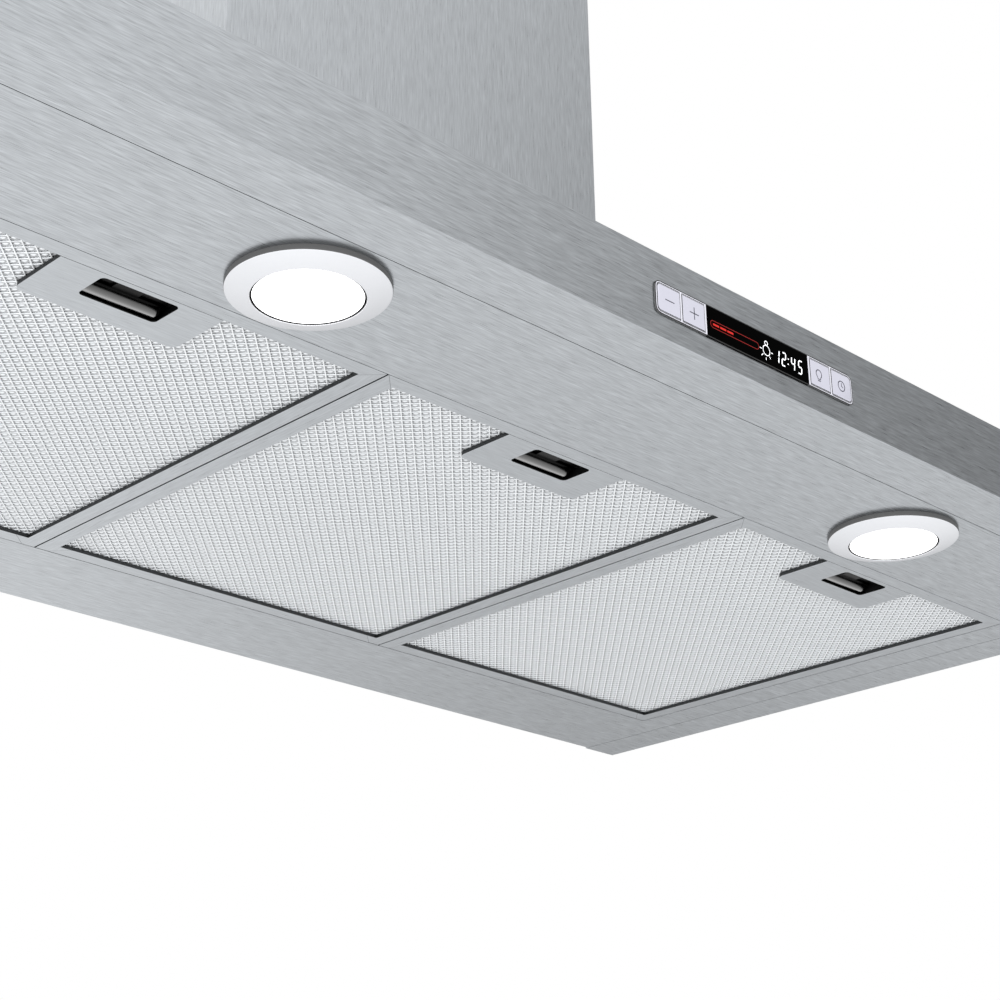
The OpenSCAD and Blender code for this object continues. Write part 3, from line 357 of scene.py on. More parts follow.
def mitred_steel(name, colour):
    """Steel strips with mitred corners, the same on all three filters."""
    steel = Finish(name, Metallic=1.0)
    low, high = filter_box["middle"]
    own_x, own_y = from_filter_middle(steel)
    to_side = (high.x - low.x) / 2 - abs(own_x)
    to_end = (high.y - low.y) / 2 - abs(own_y)
    on_side = to_side < to_end
    mitre = abs(to_side - to_end) < MITRE_GAP
    lines = grain(steel, WIDTH_AXIS) * (1 - on_side) + grain(steel, DEPTH_AXIS) * on_side
    light = (1 + lines * 0.42) * (1 - mitre * 0.5)
    rough = STEEL_ROUGH + lines * SCRATCH_ROUGH + mitre * 0.3
    normal = steel.bump(lines * 0.1 - mitre, 0.2 * MM, 0.5)
    return steel.drive(Base_Color=steel.shade(colour, light), Roughness=rough, Normal=normal)


frame_steel = mitred_steel("frame_steel", LIGHT_STEEL)
print("frame steel", frame_steel.name)

# %% [markdown]
# ## Plain metals
# Springs, screws, the fan wheel and the lamp castings are bare metal that nobody brushed. What tells them
# apart is how light and how dull they are, so one function makes them all, with soft patches of dullness.

# %% Plain metals


def worn_metal(name, colour, rough, spots=0.10, scale=300, metallic=1.0):
    """Plain sheet or cast metal: soft patches, a fine tooth, and a duller skin where it was handled."""
    metal = Finish(name, Metallic=metallic)
    tooth = metal.noise(scale * 8)
    patches = metal.noise(scale / 8, 4.0)
    light = 1 + tooth * spots + patches * spots * 1.5
    return metal.drive(Base_Color=metal.shade(colour, light), Roughness=rough + patches * 0.2 + tooth * 0.08,
                       Normal=metal.bump(tooth, 0.04 * MM, 0.5))


# Painted shade: dark steel for upright faces in shadow, the frames' inner returns and the handles' walls.
fold_painted_shade = worn_metal("fold_painted_shade", grey(0.075, 0.03), 0.5)
wire_aluminium = worn_metal("wire_aluminium", grey(0.98, 0.02), 0.34, spots=0.03, metallic=0.2)
rear_aluminium = worn_metal("rear_aluminium", grey(0.60), 0.40, spots=0.05)
pleat_aluminium = worn_metal("pleat_aluminium", grey(0.40), 0.45)
spring_steel = worn_metal("spring_steel", grey(0.48), 0.28)
wheel_steel = worn_metal("wheel_steel", grey(0.46), 0.42, scale=200)
scroll_steel = worn_metal("scroll_steel", grey(0.40), 0.48, scale=150)
flap_aluminium = worn_metal("flap_aluminium", grey(0.66), 0.40)
screw_steel = worn_metal("screw_steel", grey(0.56), 0.28)
lamp_casting = worn_metal("lamp_casting", grey(0.34), 0.5, spots=0.16)
# Painted shade: near-black steel lining the pocket behind each finger slot.
well_painted_shade = worn_metal("well_painted_shade", grey(0.05), 0.5)
print("metals", len(bpy.data.materials))

# %% [markdown]
# ## The latch with painted shade and highlight
# Behind each finger slot sits a rolled bar that fingers pull. A ramp over the depth paints its front edge
# black as painted shadow and its crest bright as a painted highlight, on plain metal.

# %% The latch's painted shade and highlight
GRIP_REACH, GRIP_DEPTH = 14.5 * MM, 12.1 * MM
# Painted shade and highlight on the latch, by depth: black in front, bright on the crest.
GRIP_SHADE_RAMP = [(0.0, 0.001), (0.30, 0.001), (0.38, 0.06), (0.54, 0.22), (0.65, 0.44), (0.78, 0.22), (1.0, 0.08)]


def latch_painted_light(name):
    """The latch's painted shade and highlight, by depth: the ramp starts GRIP_REACH in front of its rear end
    and runs over GRIP_DEPTH.
    """
    metal = Finish(name, Metallic=1.0)
    rear_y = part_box("filter_middle_latch")[1].y
    y = metal.split(metal.place())[DEPTH_AXIS]
    painted_light = metal.ramp(GRIP_SHADE_RAMP, (y - (rear_y - GRIP_REACH)) / GRIP_DEPTH)
    tooth = metal.noise(2400)
    return metal.drive(Base_Color=metal.shade(painted_light, 1 + tooth * 0.04), Roughness=0.26 + tooth * 0.08,
                       Normal=metal.bump(tooth, 0.01 * MM, 0.4))


latch_steel = latch_painted_light("latch_steel")
print("latch metal", latch_steel.name)

# %% [markdown]
# ## Galvanised sheet
# Zinc freezes in flat crystals of a few millimetres, each at its own angle, so each has its own grey and
# its own gloss. Voronoi cells have that look: one random number per cell sets both.

# %% Galvanised sheet
CRYSTALS_PER_METRE = 150


def galvanised(name, colour):
    """Zinc crystals as Voronoi cells. Each cell's random number gives its grey and its gloss."""
    zinc = Finish(name, Metallic=1.0)
    bend = zinc.noise(90)
    bends = zinc.node("ShaderNodeCombineXYZ", {}, {0: bend, 1: bend, 2: bend})
    own = zinc.place(CRYSTALS_PER_METRE)
    where = zinc.node("ShaderNodeVectorMath", {"operation": "ADD"}, {0: own, 1: bends})
    cell = zinc.node("ShaderNodeTexVoronoi", {}, {"Vector": where, "Scale": 1.0}, out="Color")
    number = zinc.split(cell)[0]
    light = 0.80 + number * 0.34
    return zinc.drive(Base_Color=zinc.shade(colour, light), Roughness=0.30 + number * 0.24,
                      Normal=zinc.bump(number, 0.02 * MM, 0.5))


galvanised_steel = galvanised("galvanised_steel", grey(0.56, 0.01))
print("zinc", galvanised_steel.name)

# %% [markdown]
# ## Plastics, paint and glass
# Moulded plastic has a faint texture from the mould and a soft, uneven gloss. The lamp ring is painted,
# with the slight waviness of a sprayed coat. The display window is gloss black.

# %% Plastics, paint and glass


def moulded(name, colour, rough=0.5, tooth_height=0.05 * MM, scale=1600, **fixed):
    """Plastic or paint: even colour with a faint cloudiness, and a fine tooth in the surface."""
    plastic = Finish(name, **fixed)
    tooth = plastic.noise(scale)
    cloud = plastic.noise(40, 3.0)
    light = 1 + cloud * 0.05 + tooth * 0.03
    return plastic.drive(Base_Color=plastic.shade(colour, light), Roughness=rough + cloud * 0.12,
                         Normal=plastic.bump(tooth, tooth_height, 0.5))


ring_white = moulded("ring_white", (0.65, 0.66, 0.685, 1), 0.45, 0.01 * MM, 900)
# Painted shade: the lamp ring's outer edge, and its bore and the lens's rear part, which lie in shadow.
ring_edge = moulded("ring_edge", grey(0.09), 0.45, 0.03 * MM)
bore_painted_shade = moulded("bore_painted_shade", grey(0.01), 0.6)
key_plastic = moulded("key_plastic", (0.52, 0.52, 0.595, 1), 0.45, 0.01 * MM, 2200)
rim_plastic = moulded("rim_plastic", (0.67, 0.67, 0.735, 1), 0.40, 0.01 * MM, 2200)
# Painted shade: the sides of the rim, a darker copy of its plastic.
rim_side_painted_shade = moulded("rim_side_painted_shade", grey(0.16), 0.5)
seam_plastic = moulded("seam_plastic", grey(0.02), 0.6)
window_glass = moulded("window_glass", grey(0.0005), 0.25, 0.002 * MM, 300, Specular_IOR_Level=0.01)
case_plastic = moulded("case_plastic", grey(0.05), 0.55)
collar_plastic = moulded("collar_plastic", grey(0.06), 0.5)
box_plastic = moulded("box_plastic", (0.34, 0.35, 0.36, 1), 0.55)
gland_plastic = moulded("gland_plastic", grey(0.10), 0.5)
motor_paint = moulded("motor_paint", (0.05, 0.055, 0.06, 1), 0.45)
ink = moulded("ink", (0.035, 0.035, 0.055, 1), 0.5, 0.005 * MM)
print("plastics done, materials", len(bpy.data.materials))

# %% [markdown]
# ## Circuit board and lights
# The circuit board is green lacquer over copper tracks. The lamp lenses and the digits give light, so they
# get an emission, which falls off a little through a fine cloudiness in the diffuser.

# %% Circuit board and lights


def board_green():
    """Circuit board: green lacquer over copper tracks, which show as slightly lighter paths."""
    board = Finish("board_green", Roughness=0.35)
    tracks = board.node("ShaderNodeTexBrick", {"offset": 0.5},
                        {"Vector": board.place(), "Scale": 220.0, "Mortar Size": 0.08,
                         "Color1": (0.01, 0.09, 0.03, 1), "Color2": (0.01, 0.11, 0.035, 1),
                         "Mortar": (0.05, 0.20, 0.07, 1)})
    tooth = board.noise(900)
    return board.drive(Base_Color=tracks, Normal=board.bump(tooth, 0.02 * MM, 0.5))


circuit_green = board_green()


def glowing(name, colour, strength, base):
    """A part that gives light, with a faint cloudiness."""
    lamp = Finish(name, Roughness=0.35, Emission_Strength=strength)
    cloud = lamp.noise(160, 3.0)
    return lamp.drive(Base_Color=lamp.shade(base, 1 + cloud * 0.04),
                      Emission_Color=lamp.shade(colour, 1 + cloud * 0.03),
                      Normal=lamp.bump(cloud, 0.02 * MM, 0.4))


lens_glow = glowing("lens_glow", (1, 1, 1, 1), 2.2, grey(0.9))
digit_glow = glowing("digit_glow", (0.92, 0.96, 1, 1), 1.1, grey(0.6))
red_glow = glowing("red_glow", (1.0, 0.016, 0.005, 1), 0.66, (0.1, 0.002, 0.002, 1))
red_dim = glowing("red_dim", (0.50, 0.006, 0.003, 1), 0.55, (0.05, 0.002, 0.002, 1))
print("materials", len(bpy.data.materials))

# %% [markdown]
# ## Putting pieces in the scene
# Two ways of making a piece share these helpers. New shapes are arrays of points and faces. Sheet metal
# that the frame already holds is copied, its loose triangles are merged, and its edges are rounded.

# %% Pieces and their faces


def add_piece(name, mesh, body, materials, stands_for=()):
    """Links a mesh as a piece that rides on a body, and hides the nodes that it stands for."""
    piece = bpy.data.objects.new(name, mesh)
    bpy.context.scene.collection.objects.link(piece)
    for material in materials:
        mesh.materials.append(material)
    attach(piece, body)
    if stands_for:
        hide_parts(*stands_for)
    return piece


def body_of(node):
    """The body that a node rides on."""
    return nodes[node]["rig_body"]


def face_values(mesh, name):
    """One vector of each face, its center or its normal, as an array of (faces, 3)."""
    values = np.empty(3 * len(mesh.polygons), np.float32)
    mesh.polygons.foreach_get(name, values)
    return values.reshape(-1, 3).astype(float)


def set_materials(mesh, numbers):
    """Gives each face the material of its number."""
    mesh.polygons.foreach_set("material_index", numbers.astype(np.int32))


def smooth(mesh, angle):
    """Smooth faces, with sharp edges where the surface turns by more than an angle."""
    mesh.polygons.foreach_set("use_smooth", np.ones(len(mesh.polygons), bool))
    mesh.set_sharp_from_angle(angle=angle)


def mesh_from(name, points, faces, smooth_angle=35):
    """A mesh from an array of points and a list or array of faces, smooth up to an angle in degrees."""
    mesh = bpy.data.meshes.new(name)
    faces = faces.tolist() if isinstance(faces, np.ndarray) else faces
    mesh.from_pydata(np.asarray(points, float).reshape(-1, 3), [], faces)
    smooth(mesh, math.radians(smooth_angle))
    return mesh


print("pieces can be added")

# %% [markdown]
# A rounded copy of a node starts from its merged mesh, and a Bevel modifier rounds its folds. Where the
# edges on the node's own box need a larger radius than the rest, each edge carries its share as a weight.

# %% Rounded copies
FOLD_ANGLE = math.radians(30)
SAME_PLANE = math.radians(0.5)
SAME_PLACE = 0.001 * MM
ON_LIMIT = 0.01 * MM


def merged_copy(node):
    """A copy of a node's mesh with its doubles merged and its flat faces joined again."""
    form = bmesh.new()
    form.from_mesh(nodes[node].data)
    bmesh.ops.remove_doubles(form, verts=form.verts, dist=SAME_PLACE)
    bmesh.ops.dissolve_limit(form, angle_limit=SAME_PLANE, verts=form.verts, edges=form.edges)
    return form


def on_box(edge, low, high):
    """True if an edge lies on two faces of a box: both ends share two of its limits."""
    ends = [vertex.co for vertex in edge.verts]
    shared = sum(all(abs(end[axis] - limit) < ON_LIMIT for end in ends)
                 for axis in range(3) for limit in (low[axis], high[axis]))
    return shared >= 2


def weigh_edges(form, node, inner_share):
    """Weight 1 for the folds on the node's own box, and a smaller share for its other folds."""
    low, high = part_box(node)
    weights = form.edges.layers.float.new("bevel_weight_edge")
    for edge in form.edges:
        if len(edge.link_faces) == 2 and edge.calc_face_angle(0) > FOLD_ANGLE:
            edge[weights] = 1.0 if on_box(edge, low, high) else inner_share


def eased(node, radius, materials, pick=None, segments=2, outer=None):
    """A copy of a node with rounded edges. pick gives each face's material number from the faces'
    centres and normals, as arrays. outer, a larger radius, is for edges on the node's own box."""
    form = merged_copy(node)
    if outer:
        weigh_edges(form, node, radius / outer)
    mesh = bpy.data.meshes.new(node + "_eased")
    form.to_mesh(mesh)
    form.free()
    piece = add_piece(node + "_eased", mesh, body_of(node), materials, (node,))
    if pick:
        set_materials(mesh, pick(face_values(mesh, "center"), face_values(mesh, "normal")))
    rounding = piece.modifiers.new("rounding", "BEVEL")
    rounding.width = outer or radius
    rounding.segments = segments
    rounding.limit_method = "WEIGHT" if outer else "ANGLE"
    rounding.angle_limit = FOLD_ANGLE
    rounding.harden_normals = True
    smooth(mesh, FOLD_ANGLE)
    return piece


print("folds are rounded from", round(math.degrees(FOLD_ANGLE)), "degrees")

# %% [markdown]
# New shapes are rows of rings. Two neighbouring rings are joined by one row of faces, and numpy finds the
# corners of all faces at once by rolling the array of point numbers by one.

# %% Rings of points


def ring_quads(here, ahead):
    """Faces between rings and the next rings: each point meets its neighbours in its ring and ahead."""
    return np.stack([here, np.roll(here, -1, -1), np.roll(ahead, -1, -1), ahead], -1).reshape(-1, 4)


def sweep(rings, closed=False):
    """Joins rings of points, an array of (count, sides, 3), into a tube. An open tube gets flat caps."""
    count, sides = rings.shape[:2]
    index = np.arange(count * sides).reshape(count, sides)
    here, ahead = (index, np.roll(index, -1, 0)) if closed else (index[:-1], index[1:])
    caps = [] if closed else [index[0][::-1].tolist(), index[-1].tolist()]
    return rings.reshape(-1, 3), ring_quads(here, ahead).tolist() + caps


def gather(parts):
    """Several (points, faces) pairs as one."""
    points, faces, start = [], [], 0
    for some_points, some_faces in parts:
        points.append(np.asarray(some_points).reshape(-1, 3))
        faces += [[start + corner for corner in face] for face in some_faces]
        start += len(points[-1])
    return np.vstack(points), faces


print("helpers ready")

# %% [markdown]
# ## Canopy and underside panel
# The canopy is one folded sheet. A press brake leaves a bend of about a millimetre outside and a sharp
# cut edge elsewhere, so the outer edges get a larger rounding than the rest. That rounding is what makes
# the thin bright line along the lower edge of the front face.

# %% Canopy and underside panel
canopy = eased("canopy_shell", 0.14 * MM, [canopy_steel], outer=0.9 * MM, segments=3)
top = eased("canopy_top", 0.14 * MM, [canopy_steel])
panel = eased("underside_panel", 0.08 * MM, [canopy_steel])
print("faces:", [len(sheet.data.polygons) for sheet in (canopy, top, panel)])

# %% [markdown]
# ## The woven mesh
# The grease filters are covered with an aluminium mesh that is turned 45 degrees. Straight wires run one
# way, and wide crimped strands run the other way, dipping under each wire. A shader could only paint this,
# so it is modelled: every strand is a row of six-sided rings. The rings of all strands are worked out at
# once as one array over the whole window, and what lies outside the window is dropped.

# %% Strands of the mesh
WIRE_STEP = np.array([3.37, 3.46]) * MM
STRAND_STEP = WIRE_STEP * [1, -1]
SIXTHS = np.radians(np.arange(0, 360, 60))


def inset(box, edge):
    """The window ((x0, x1), (y0, y1)) that a box leaves when an edge is cut off all round."""
    low, high = box
    return (low.x + edge, high.x - edge), (low.y + edge, high.y - edge)


def within(places, window):
    """True where a place, by its X and Y, lies in a window."""
    (x0, x1), (y0, y1) = window
    x, y = places[..., 0], places[..., 1]
    return (x > x0) & (x < x1) & (y > y0) & (y < y1)


def trimmed(points, inside):
    """Faces of six-sided rings, an array of (strands, rings, 6, 3), wherever a ring and the next are both
    inside, with two faces on each cut end. Points that no face uses are dropped."""
    index = np.arange(points.size // 3).reshape(points.shape[:3])
    whole = inside[:, :-1] & inside[:, 1:]
    quads = ring_quads(index[:, :-1][whole], index[:, 1:][whole])
    none = np.zeros((len(whole), 1), bool)
    starts = index[:, :-1][whole & ~np.hstack([none, whole[:, :-1]])]
    ends = index[:, 1:][whole & ~np.hstack([whole[:, 1:], none])]
    caps = [starts[:, [3, 2, 1, 0]], starts[:, [0, 5, 4, 3]], ends[:, [0, 1, 2, 3]], ends[:, [3, 4, 5, 0]]]
    used, faces = np.unique(np.vstack([quads, *caps]), return_inverse=True)
    return points.reshape(-1, 3)[used], faces.reshape(-1, 4)


def strands(window, holes, line_step, run_step, samples, centre_line, section):
    """Parallel strands over a window, but not over its holes. A strand's centre follows run_step, and the
    strands lie line_step apart. centre_line(t) gives the height at t pitches along the strand, and
    section(t) gives the half width and the half thickness there."""
    (x0, x1), (y0, y1) = window
    middle = np.array([(x0 + x1) / 2, (y0 + y1) / 2])
    reach = math.ceil(math.hypot(x1 - x0, y1 - y0) / 2 / np.linalg.norm(run_step)) + 1
    lines = np.arange(-reach, reach + 1)[:, None]
    t = np.arange(-reach * samples, reach * samples + 1)[None, :] / samples
    centre = middle + lines[..., None] * line_step + t[..., None] * run_step
    inside = within(centre, window)
    for hole in holes:
        inside &= ~within(centre, hole)
    half_width, half_thick = section(t)
    across = line_step / np.linalg.norm(line_step)
    level = centre[:, :, None, :] + (half_width[..., None] * np.cos(SIXTHS))[..., None] * across
    height = (centre_line(t) + 0 * lines)[..., None] + half_thick[..., None] * np.sin(SIXTHS)
    return trimmed(np.concatenate([level, height[..., None]], -1), inside)


print("wire pitch", round(np.linalg.norm(WIRE_STEP) / MM, 2), "mm")

# %% [markdown]
# Each strand gets painted light: a painted highlight, a bright bar on its top in the middle between two
# wires, a darker ring round the bar, and a painted shadow, a dark dot where it dives under a wire. The place
# of a point in the weave comes from its X and Y: the two steps of the weave are the sides of a lattice, and
# half the sum and half the difference of x / step_x and y / step_y count the strands and the wires.

# %% Strands with painted highlights and shadows
# The crown's half length and half width in pitches of the weave, and how many of them the ramp spans.
CROWN_LENGTH, CROWN_WIDTH, RAMP_SPAN = 0.40, 0.27, 1.7
HIGHLIGHT_RAMP = [(0.0, 1.0), (0.30, 1.0), (0.44, 0.42), (0.58, 0.48), (0.78, 0.92), (1.0, 1.0)]
# The painted shadow's place past a wire and its half length, in pitches.
SHADOW_SPOT_PLACE, SHADOW_SPOT_LENGTH = 0.14, 0.09


def strand_painted_light(name, colour):
    """Metal of the wide strands. Counts wires along a strand and strands across, and paints a highlight on
    each strand's top and a shadow past each wire.
    """
    metal = Finish(name, Metallic=0.4)
    own_x, own_y = from_filter_middle(metal)
    steps_x, steps_y = own_x / (2 * WIRE_STEP[0]), own_y / (2 * WIRE_STEP[1])
    wires, rows = steps_x - steps_y, steps_x + steps_y
    past_wire = wires - wires.math("FLOOR")
    from_crown = abs(past_wire - 0.5) / CROWN_LENGTH
    from_middle = abs(rows - rows.math("ROUND")) / CROWN_WIDTH
    reach = (from_crown * from_crown + from_middle * from_middle).math("SQRT")
    # Painted highlight on each strand's top, with a darker ring round it.
    painted_highlight = metal.ramp(HIGHLIGHT_RAMP, reach / RAMP_SPAN)
    past_shadow_spot = abs(past_wire - SHADOW_SPOT_PLACE) / SHADOW_SPOT_LENGTH
    # Painted shadow where the strand dives under a wire.
    painted_shadow_spot = (1 - past_shadow_spot).math("MAXIMUM", 0.0) * (1 - from_middle * 0.7).math("MAXIMUM", 0.0)
    tooth = metal.noise(2600)
    light = 1 - painted_shadow_spot * 0.95 + tooth * 0.06
    return metal.drive(Base_Color=metal.shade(metal.multiply(colour, painted_highlight), light),
                       Roughness=0.30 + tooth * 0.1 + painted_shadow_spot * 0.3, Normal=metal.bump(tooth, 0.02 * MM, 0.4))


# Strand metal with painted highlights and shadows.
strand_painted_aluminium = strand_painted_light("strand_painted_aluminium", grey(0.97, 0.03))
print("strand metal", strand_painted_aluminium.name)

# %% [markdown]
# Each filter gets four layers of strands. The wires of the front layer keep one height, and the wide
# strands follow a cosine, up to the face between two wires and down under each wire. The rear layer is a
# plain weave of round wire. The window leaves out the frame's lip and the handle's pocket.

# %% Mesh of each filter
FRAME_LIP = 5 * MM
# The pocket's reach past the latch on the left, on the right and in front, and its end short of the plate's.
POCKET_LEFT, POCKET_RIGHT, POCKET_FRONT, POCKET_END = 4.5 * MM, 5.2 * MM, 20 * MM, 0.6 * MM
WIRE_DEPTH, STRAND_DEPTH, STRAND_WAVE = 0.30 * MM, 0.50 * MM, 0.14 * MM
REAR_WIRE_DEPTH, REAR_STRAND_DEPTH = 0.50 * MM, 0.30 * MM
STRAND_HALF, PINCHED_HALF, PINCH_PLACE = np.array([2.36, 0.16]) * MM, np.array([2.00, 0.13]) * MM, 0.12
mesh_low, mesh_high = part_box("filter_middle_mesh")


def constant(value):
    """A height that is the same all along a strand."""
    return lambda t: value + 0 * t


def round_wire(half_width, half_thick):
    """The section of a wire, slightly flattened and the same all along."""
    return lambda t: (half_width + 0 * t, half_thick + 0 * t)


def strand_height(t):
    """The wide strands rise to the face between the wires and dip under each wire, as a cosine."""
    return mesh_low.z + STRAND_DEPTH + STRAND_WAVE * np.cos(2 * np.pi * t)


def strand_section(t):
    """Widest in the middle between two wires, and pinched to one side of each wire."""
    pinch = np.clip(np.cos(2 * np.pi * (t - PINCH_PLACE)), 0, 1) ** 2
    return [whole + (pinched - whole) * pinch for whole, pinched in zip(STRAND_HALF, PINCHED_HALF)]


front_wire = round_wire(0.37 * MM, 0.30 * MM)
rear_wire = round_wire(0.45 * MM, 0.30 * MM)


def mesh_layers(side):
    """The front and the rear layers of a filter, each as two sets of strands that cross."""
    window = inset(filter_box[side], FRAME_LIP)
    handle_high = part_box(f"filter_{side}_handle")[1]
    latch_low, latch_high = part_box(f"filter_{side}_latch")
    pocket = [((latch_low.x - POCKET_LEFT, latch_high.x + POCKET_RIGHT),
               (latch_low.y - POCKET_FRONT, handle_high.y - POCKET_END))]
    front_z, rear_z = constant(mesh_low.z + WIRE_DEPTH), constant(mesh_high.z - REAR_WIRE_DEPTH)
    last_z = constant(mesh_high.z - REAR_STRAND_DEPTH)
    front = [strands(window, pocket, STRAND_STEP, WIRE_STEP, 1, front_z, front_wire),
             strands(window, pocket, WIRE_STEP, STRAND_STEP, 4, strand_height, strand_section)]
    rear = [strands(window, [], STRAND_STEP, WIRE_STEP, 1, rear_z, rear_wire),
            strands(window, [], WIRE_STEP, STRAND_STEP, 1, last_z, rear_wire)]
    return front, rear


def add_layer(side, name, layers, metals):
    """One piece from two sets of strands, each with its own metal."""
    node = f"filter_{side}_mesh"
    (points, faces), (more_points, more_faces) = layers
    all_faces = np.vstack([faces, more_faces + len(points)])
    mesh = mesh_from(f"{node}_{name}", np.vstack([points, more_points]), all_faces, 180)
    add_piece(f"{node}_{name}", mesh, body_of(node), metals, (node,))
    set_materials(mesh, np.arange(len(all_faces)) >= len(faces))
    print(node, name, "triangles", 2 * len(all_faces))


for side in SIDES:
    front, rear = mesh_layers(side)
    add_layer(side, "front", front, [wire_aluminium, strand_painted_aluminium])
    add_layer(side, "rear", rear, [rear_aluminium] * 2)

# %% [markdown]
# ## Filter frames, handles and latches
# The frame's folded border has a small inner return that looks dark from below, because it faces the viewer
# edge-on. The same is true for the side walls of the handle plate and for its pocket. So faces that stand
# upright there get a darker steel as painted shade, and the pocket behind the slot a near-black one as
# painted shade, chosen by the direction and the height of each face.

# %% Filter frames, handles and latches
FRAME_BORDER, PLATE_DEPTH, POCKET_HALF = 4 * MM, 0.9 * MM, 27 * MM


def upright(normals):
    """True for faces that stand upright."""
    return np.abs(normals[:, 2]) < 0.5


def frame_faces(side):
    """Material 1, painted shade, for the upright faces round the window."""
    window = inset(filter_box[side], FRAME_BORDER)
    return lambda centres, normals: within(centres, window) & upright(normals)


def handle_faces(side):
    """Material 1, painted shade, for upright faces and for faces deeper than the plate, and material 2, a
    darker painted shade, for those of them that line the pocket behind the slot."""

    def pick(centres, normals):
        in_painted_shade = upright(normals) | (centres[:, 2] > underside_z + PLATE_DEPTH)
        inside = np.abs(centres[:, 0] - filter_x[side]) < POCKET_HALF
        return in_painted_shade.astype(int) + (in_painted_shade & inside)

    return pick


for side in SIDES:
    eased(f"filter_{side}_frame", 0.16 * MM, [frame_steel, fold_painted_shade], frame_faces(side))
    eased(f"filter_{side}_handle", 0.18 * MM, [handle_steel, fold_painted_shade, well_painted_shade], handle_faces(side))
    eased(f"filter_{side}_latch", 0.12 * MM, [latch_steel])
print("frames, handles and latches done")

# %% [markdown]
# ## Lamps
# A lamp is a shallow white ring with a frosted disc. Both are bodies of revolution, so each is a profile
# of radius and height turned about the lamp's axis. Small roundings at the ring's edges catch the light.

# %% Rounded profiles
SHARP = 1e-6


def corner(before, at, after, radius, steps=4):
    """Points of a rounded corner: from radius before the corner to radius after it, on a quadratic curve
    with the corner as its middle control point."""
    before, at, after = (np.array(point, float) for point in (before, at, after))
    start = at + (before - at) / np.linalg.norm(before - at) * radius
    end = at + (after - at) / np.linalg.norm(after - at) * radius
    t = np.linspace(0, 1, steps + 1)[:, None]
    return (1 - t) ** 2 * start + 2 * t * (1 - t) * at + t ** 2 * end


def rounded_profile(outline, radii):
    """A closed outline with each corner rounded by its own radius, or next to sharp where that is 0."""
    count = len(outline)
    return np.vstack([corner(outline[k - 1], outline[k], outline[(k + 1) % count], max(radii[k], SHARP))
                      for k in range(count)])


def revolved(profile, centre, turns=128):
    """Points of a profile of (radius, height) turned about a vertical axis: x = r cos a, y = r sin a."""
    angle = np.linspace(0, 2 * np.pi, turns, endpoint=False)[:, None]
    radius, height = profile[None, :, 0], profile[None, :, 1]
    return np.stack([centre[0] + radius * np.cos(angle), centre[1] + radius * np.sin(angle),
                     height + 0 * angle], -1)


def turned(profile, centre):
    """A closed profile turned about the axis, as a closed tube."""
    return sweep(revolved(profile, centre)[:, ::-1], closed=True)


def turned_disc(profile, centre):
    """An open profile that starts and ends on the axis, turned about it, with one point at each pole."""
    rings = revolved(profile[1:-1], centre)
    points = rings.reshape(-1, 3)
    index = np.arange(len(points)).reshape(len(rings), -1)
    ahead = np.roll(index, -1, 0)
    quads = np.stack([index[:, :-1], ahead[:, :-1], ahead[:, 1:], index[:, 1:]], -1).reshape(-1, 4).tolist()
    bottom, top = len(points), len(points) + 1
    poles = [(*centre, profile[0][1]), (*centre, profile[-1][1])]
    caps = [[bottom, b, a] for a, b in zip(index[:, 0], ahead[:, 0])]
    caps += [[top, a, b] for a, b in zip(index[:, -1], ahead[:, -1])]
    return np.vstack([points, poles]), quads + caps


print("profiles ready")

# %% [markdown]
# The ring is a flange that leans outwards from the bore, with a short barrel above it, and it holds the
# lens on a step. Its outer edge and its bore are in shadow, so they get darker materials, chosen by the
# distance of each face from the axis.

# %% Lamp rings
LENS_GAP, BARREL_WALL, STEP_DEPTH, FLANGE_EDGE = 0.6 * MM, 4.4 * MM, 1.6 * MM, 2.8 * MM
RING_RADII = np.array([0.35, 0.6, 0.1, 0, 0.1, 0.1, 0.1, 0.1]) * MM
EDGE_BAND, BORE_MOUTH, ON_BORE = 0.2 * MM, 0.6 * MM, 0.02 * MM


def lamp_sizes(side):
    """The lamp's centre, and the radii of its ring and its lens."""
    low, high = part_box(f"lamp_{side}_ring")
    lens_low, lens_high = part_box(f"lamp_{side}_lens")
    return ((low.x + high.x) / 2, (low.y + high.y) / 2), (high.x - low.x) / 2, (lens_high.x - lens_low.x) / 2


def add_turned(node, shape, materials):
    """A turned shape in place of a node of the lamp. Returns the mesh and the centres of its faces."""
    mesh = mesh_from(f"{node}_turned", *shape, 60)
    add_piece(f"{node}_turned", mesh, body_of(node), materials, (node,))
    return mesh, face_values(mesh, "center")


def lamp_ring(side):
    """The flange, the barrel and the step, as one closed outline that is turned."""
    low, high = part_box(f"lamp_{side}_ring")
    step_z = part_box(f"lamp_{side}_lens")[1].z
    centre, outer, lens_radius = lamp_sizes(side)
    bore, barrel, edge_z = lens_radius + LENS_GAP, lens_radius + BARREL_WALL, underside_z - FLANGE_EDGE
    inner = bore - STEP_DEPTH
    outline = [(bore, low.z), (outer, edge_z), (outer, underside_z), (barrel, underside_z),
               (barrel, high.z), (inner, high.z), (inner, step_z), (bore, step_z)]
    shape = turned(rounded_profile(outline, RING_RADII), centre)
    mesh, centres = add_turned(f"lamp_{side}_ring", shape, [ring_white, ring_edge, bore_painted_shade])
    from_axis = np.hypot(centres[:, 0] - centre[0], centres[:, 1] - centre[1])
    at_edge = (from_axis > outer - EDGE_BAND) & (centres[:, 2] > edge_z + EDGE_BAND)
    in_bore = (from_axis < bore + ON_BORE) & (centres[:, 2] > low.z + BORE_MOUTH)
    set_materials(mesh, at_edge + 2 * in_bore)
    return outer


print("the flange's edge stands", round(FLANGE_EDGE / MM, 1), "mm below the panel")

# %% Lamp lenses
LENS_INSET, LENS_DEPTH, GLOW_DEPTH = 0.3 * MM, 0.5 * MM, 0.4 * MM


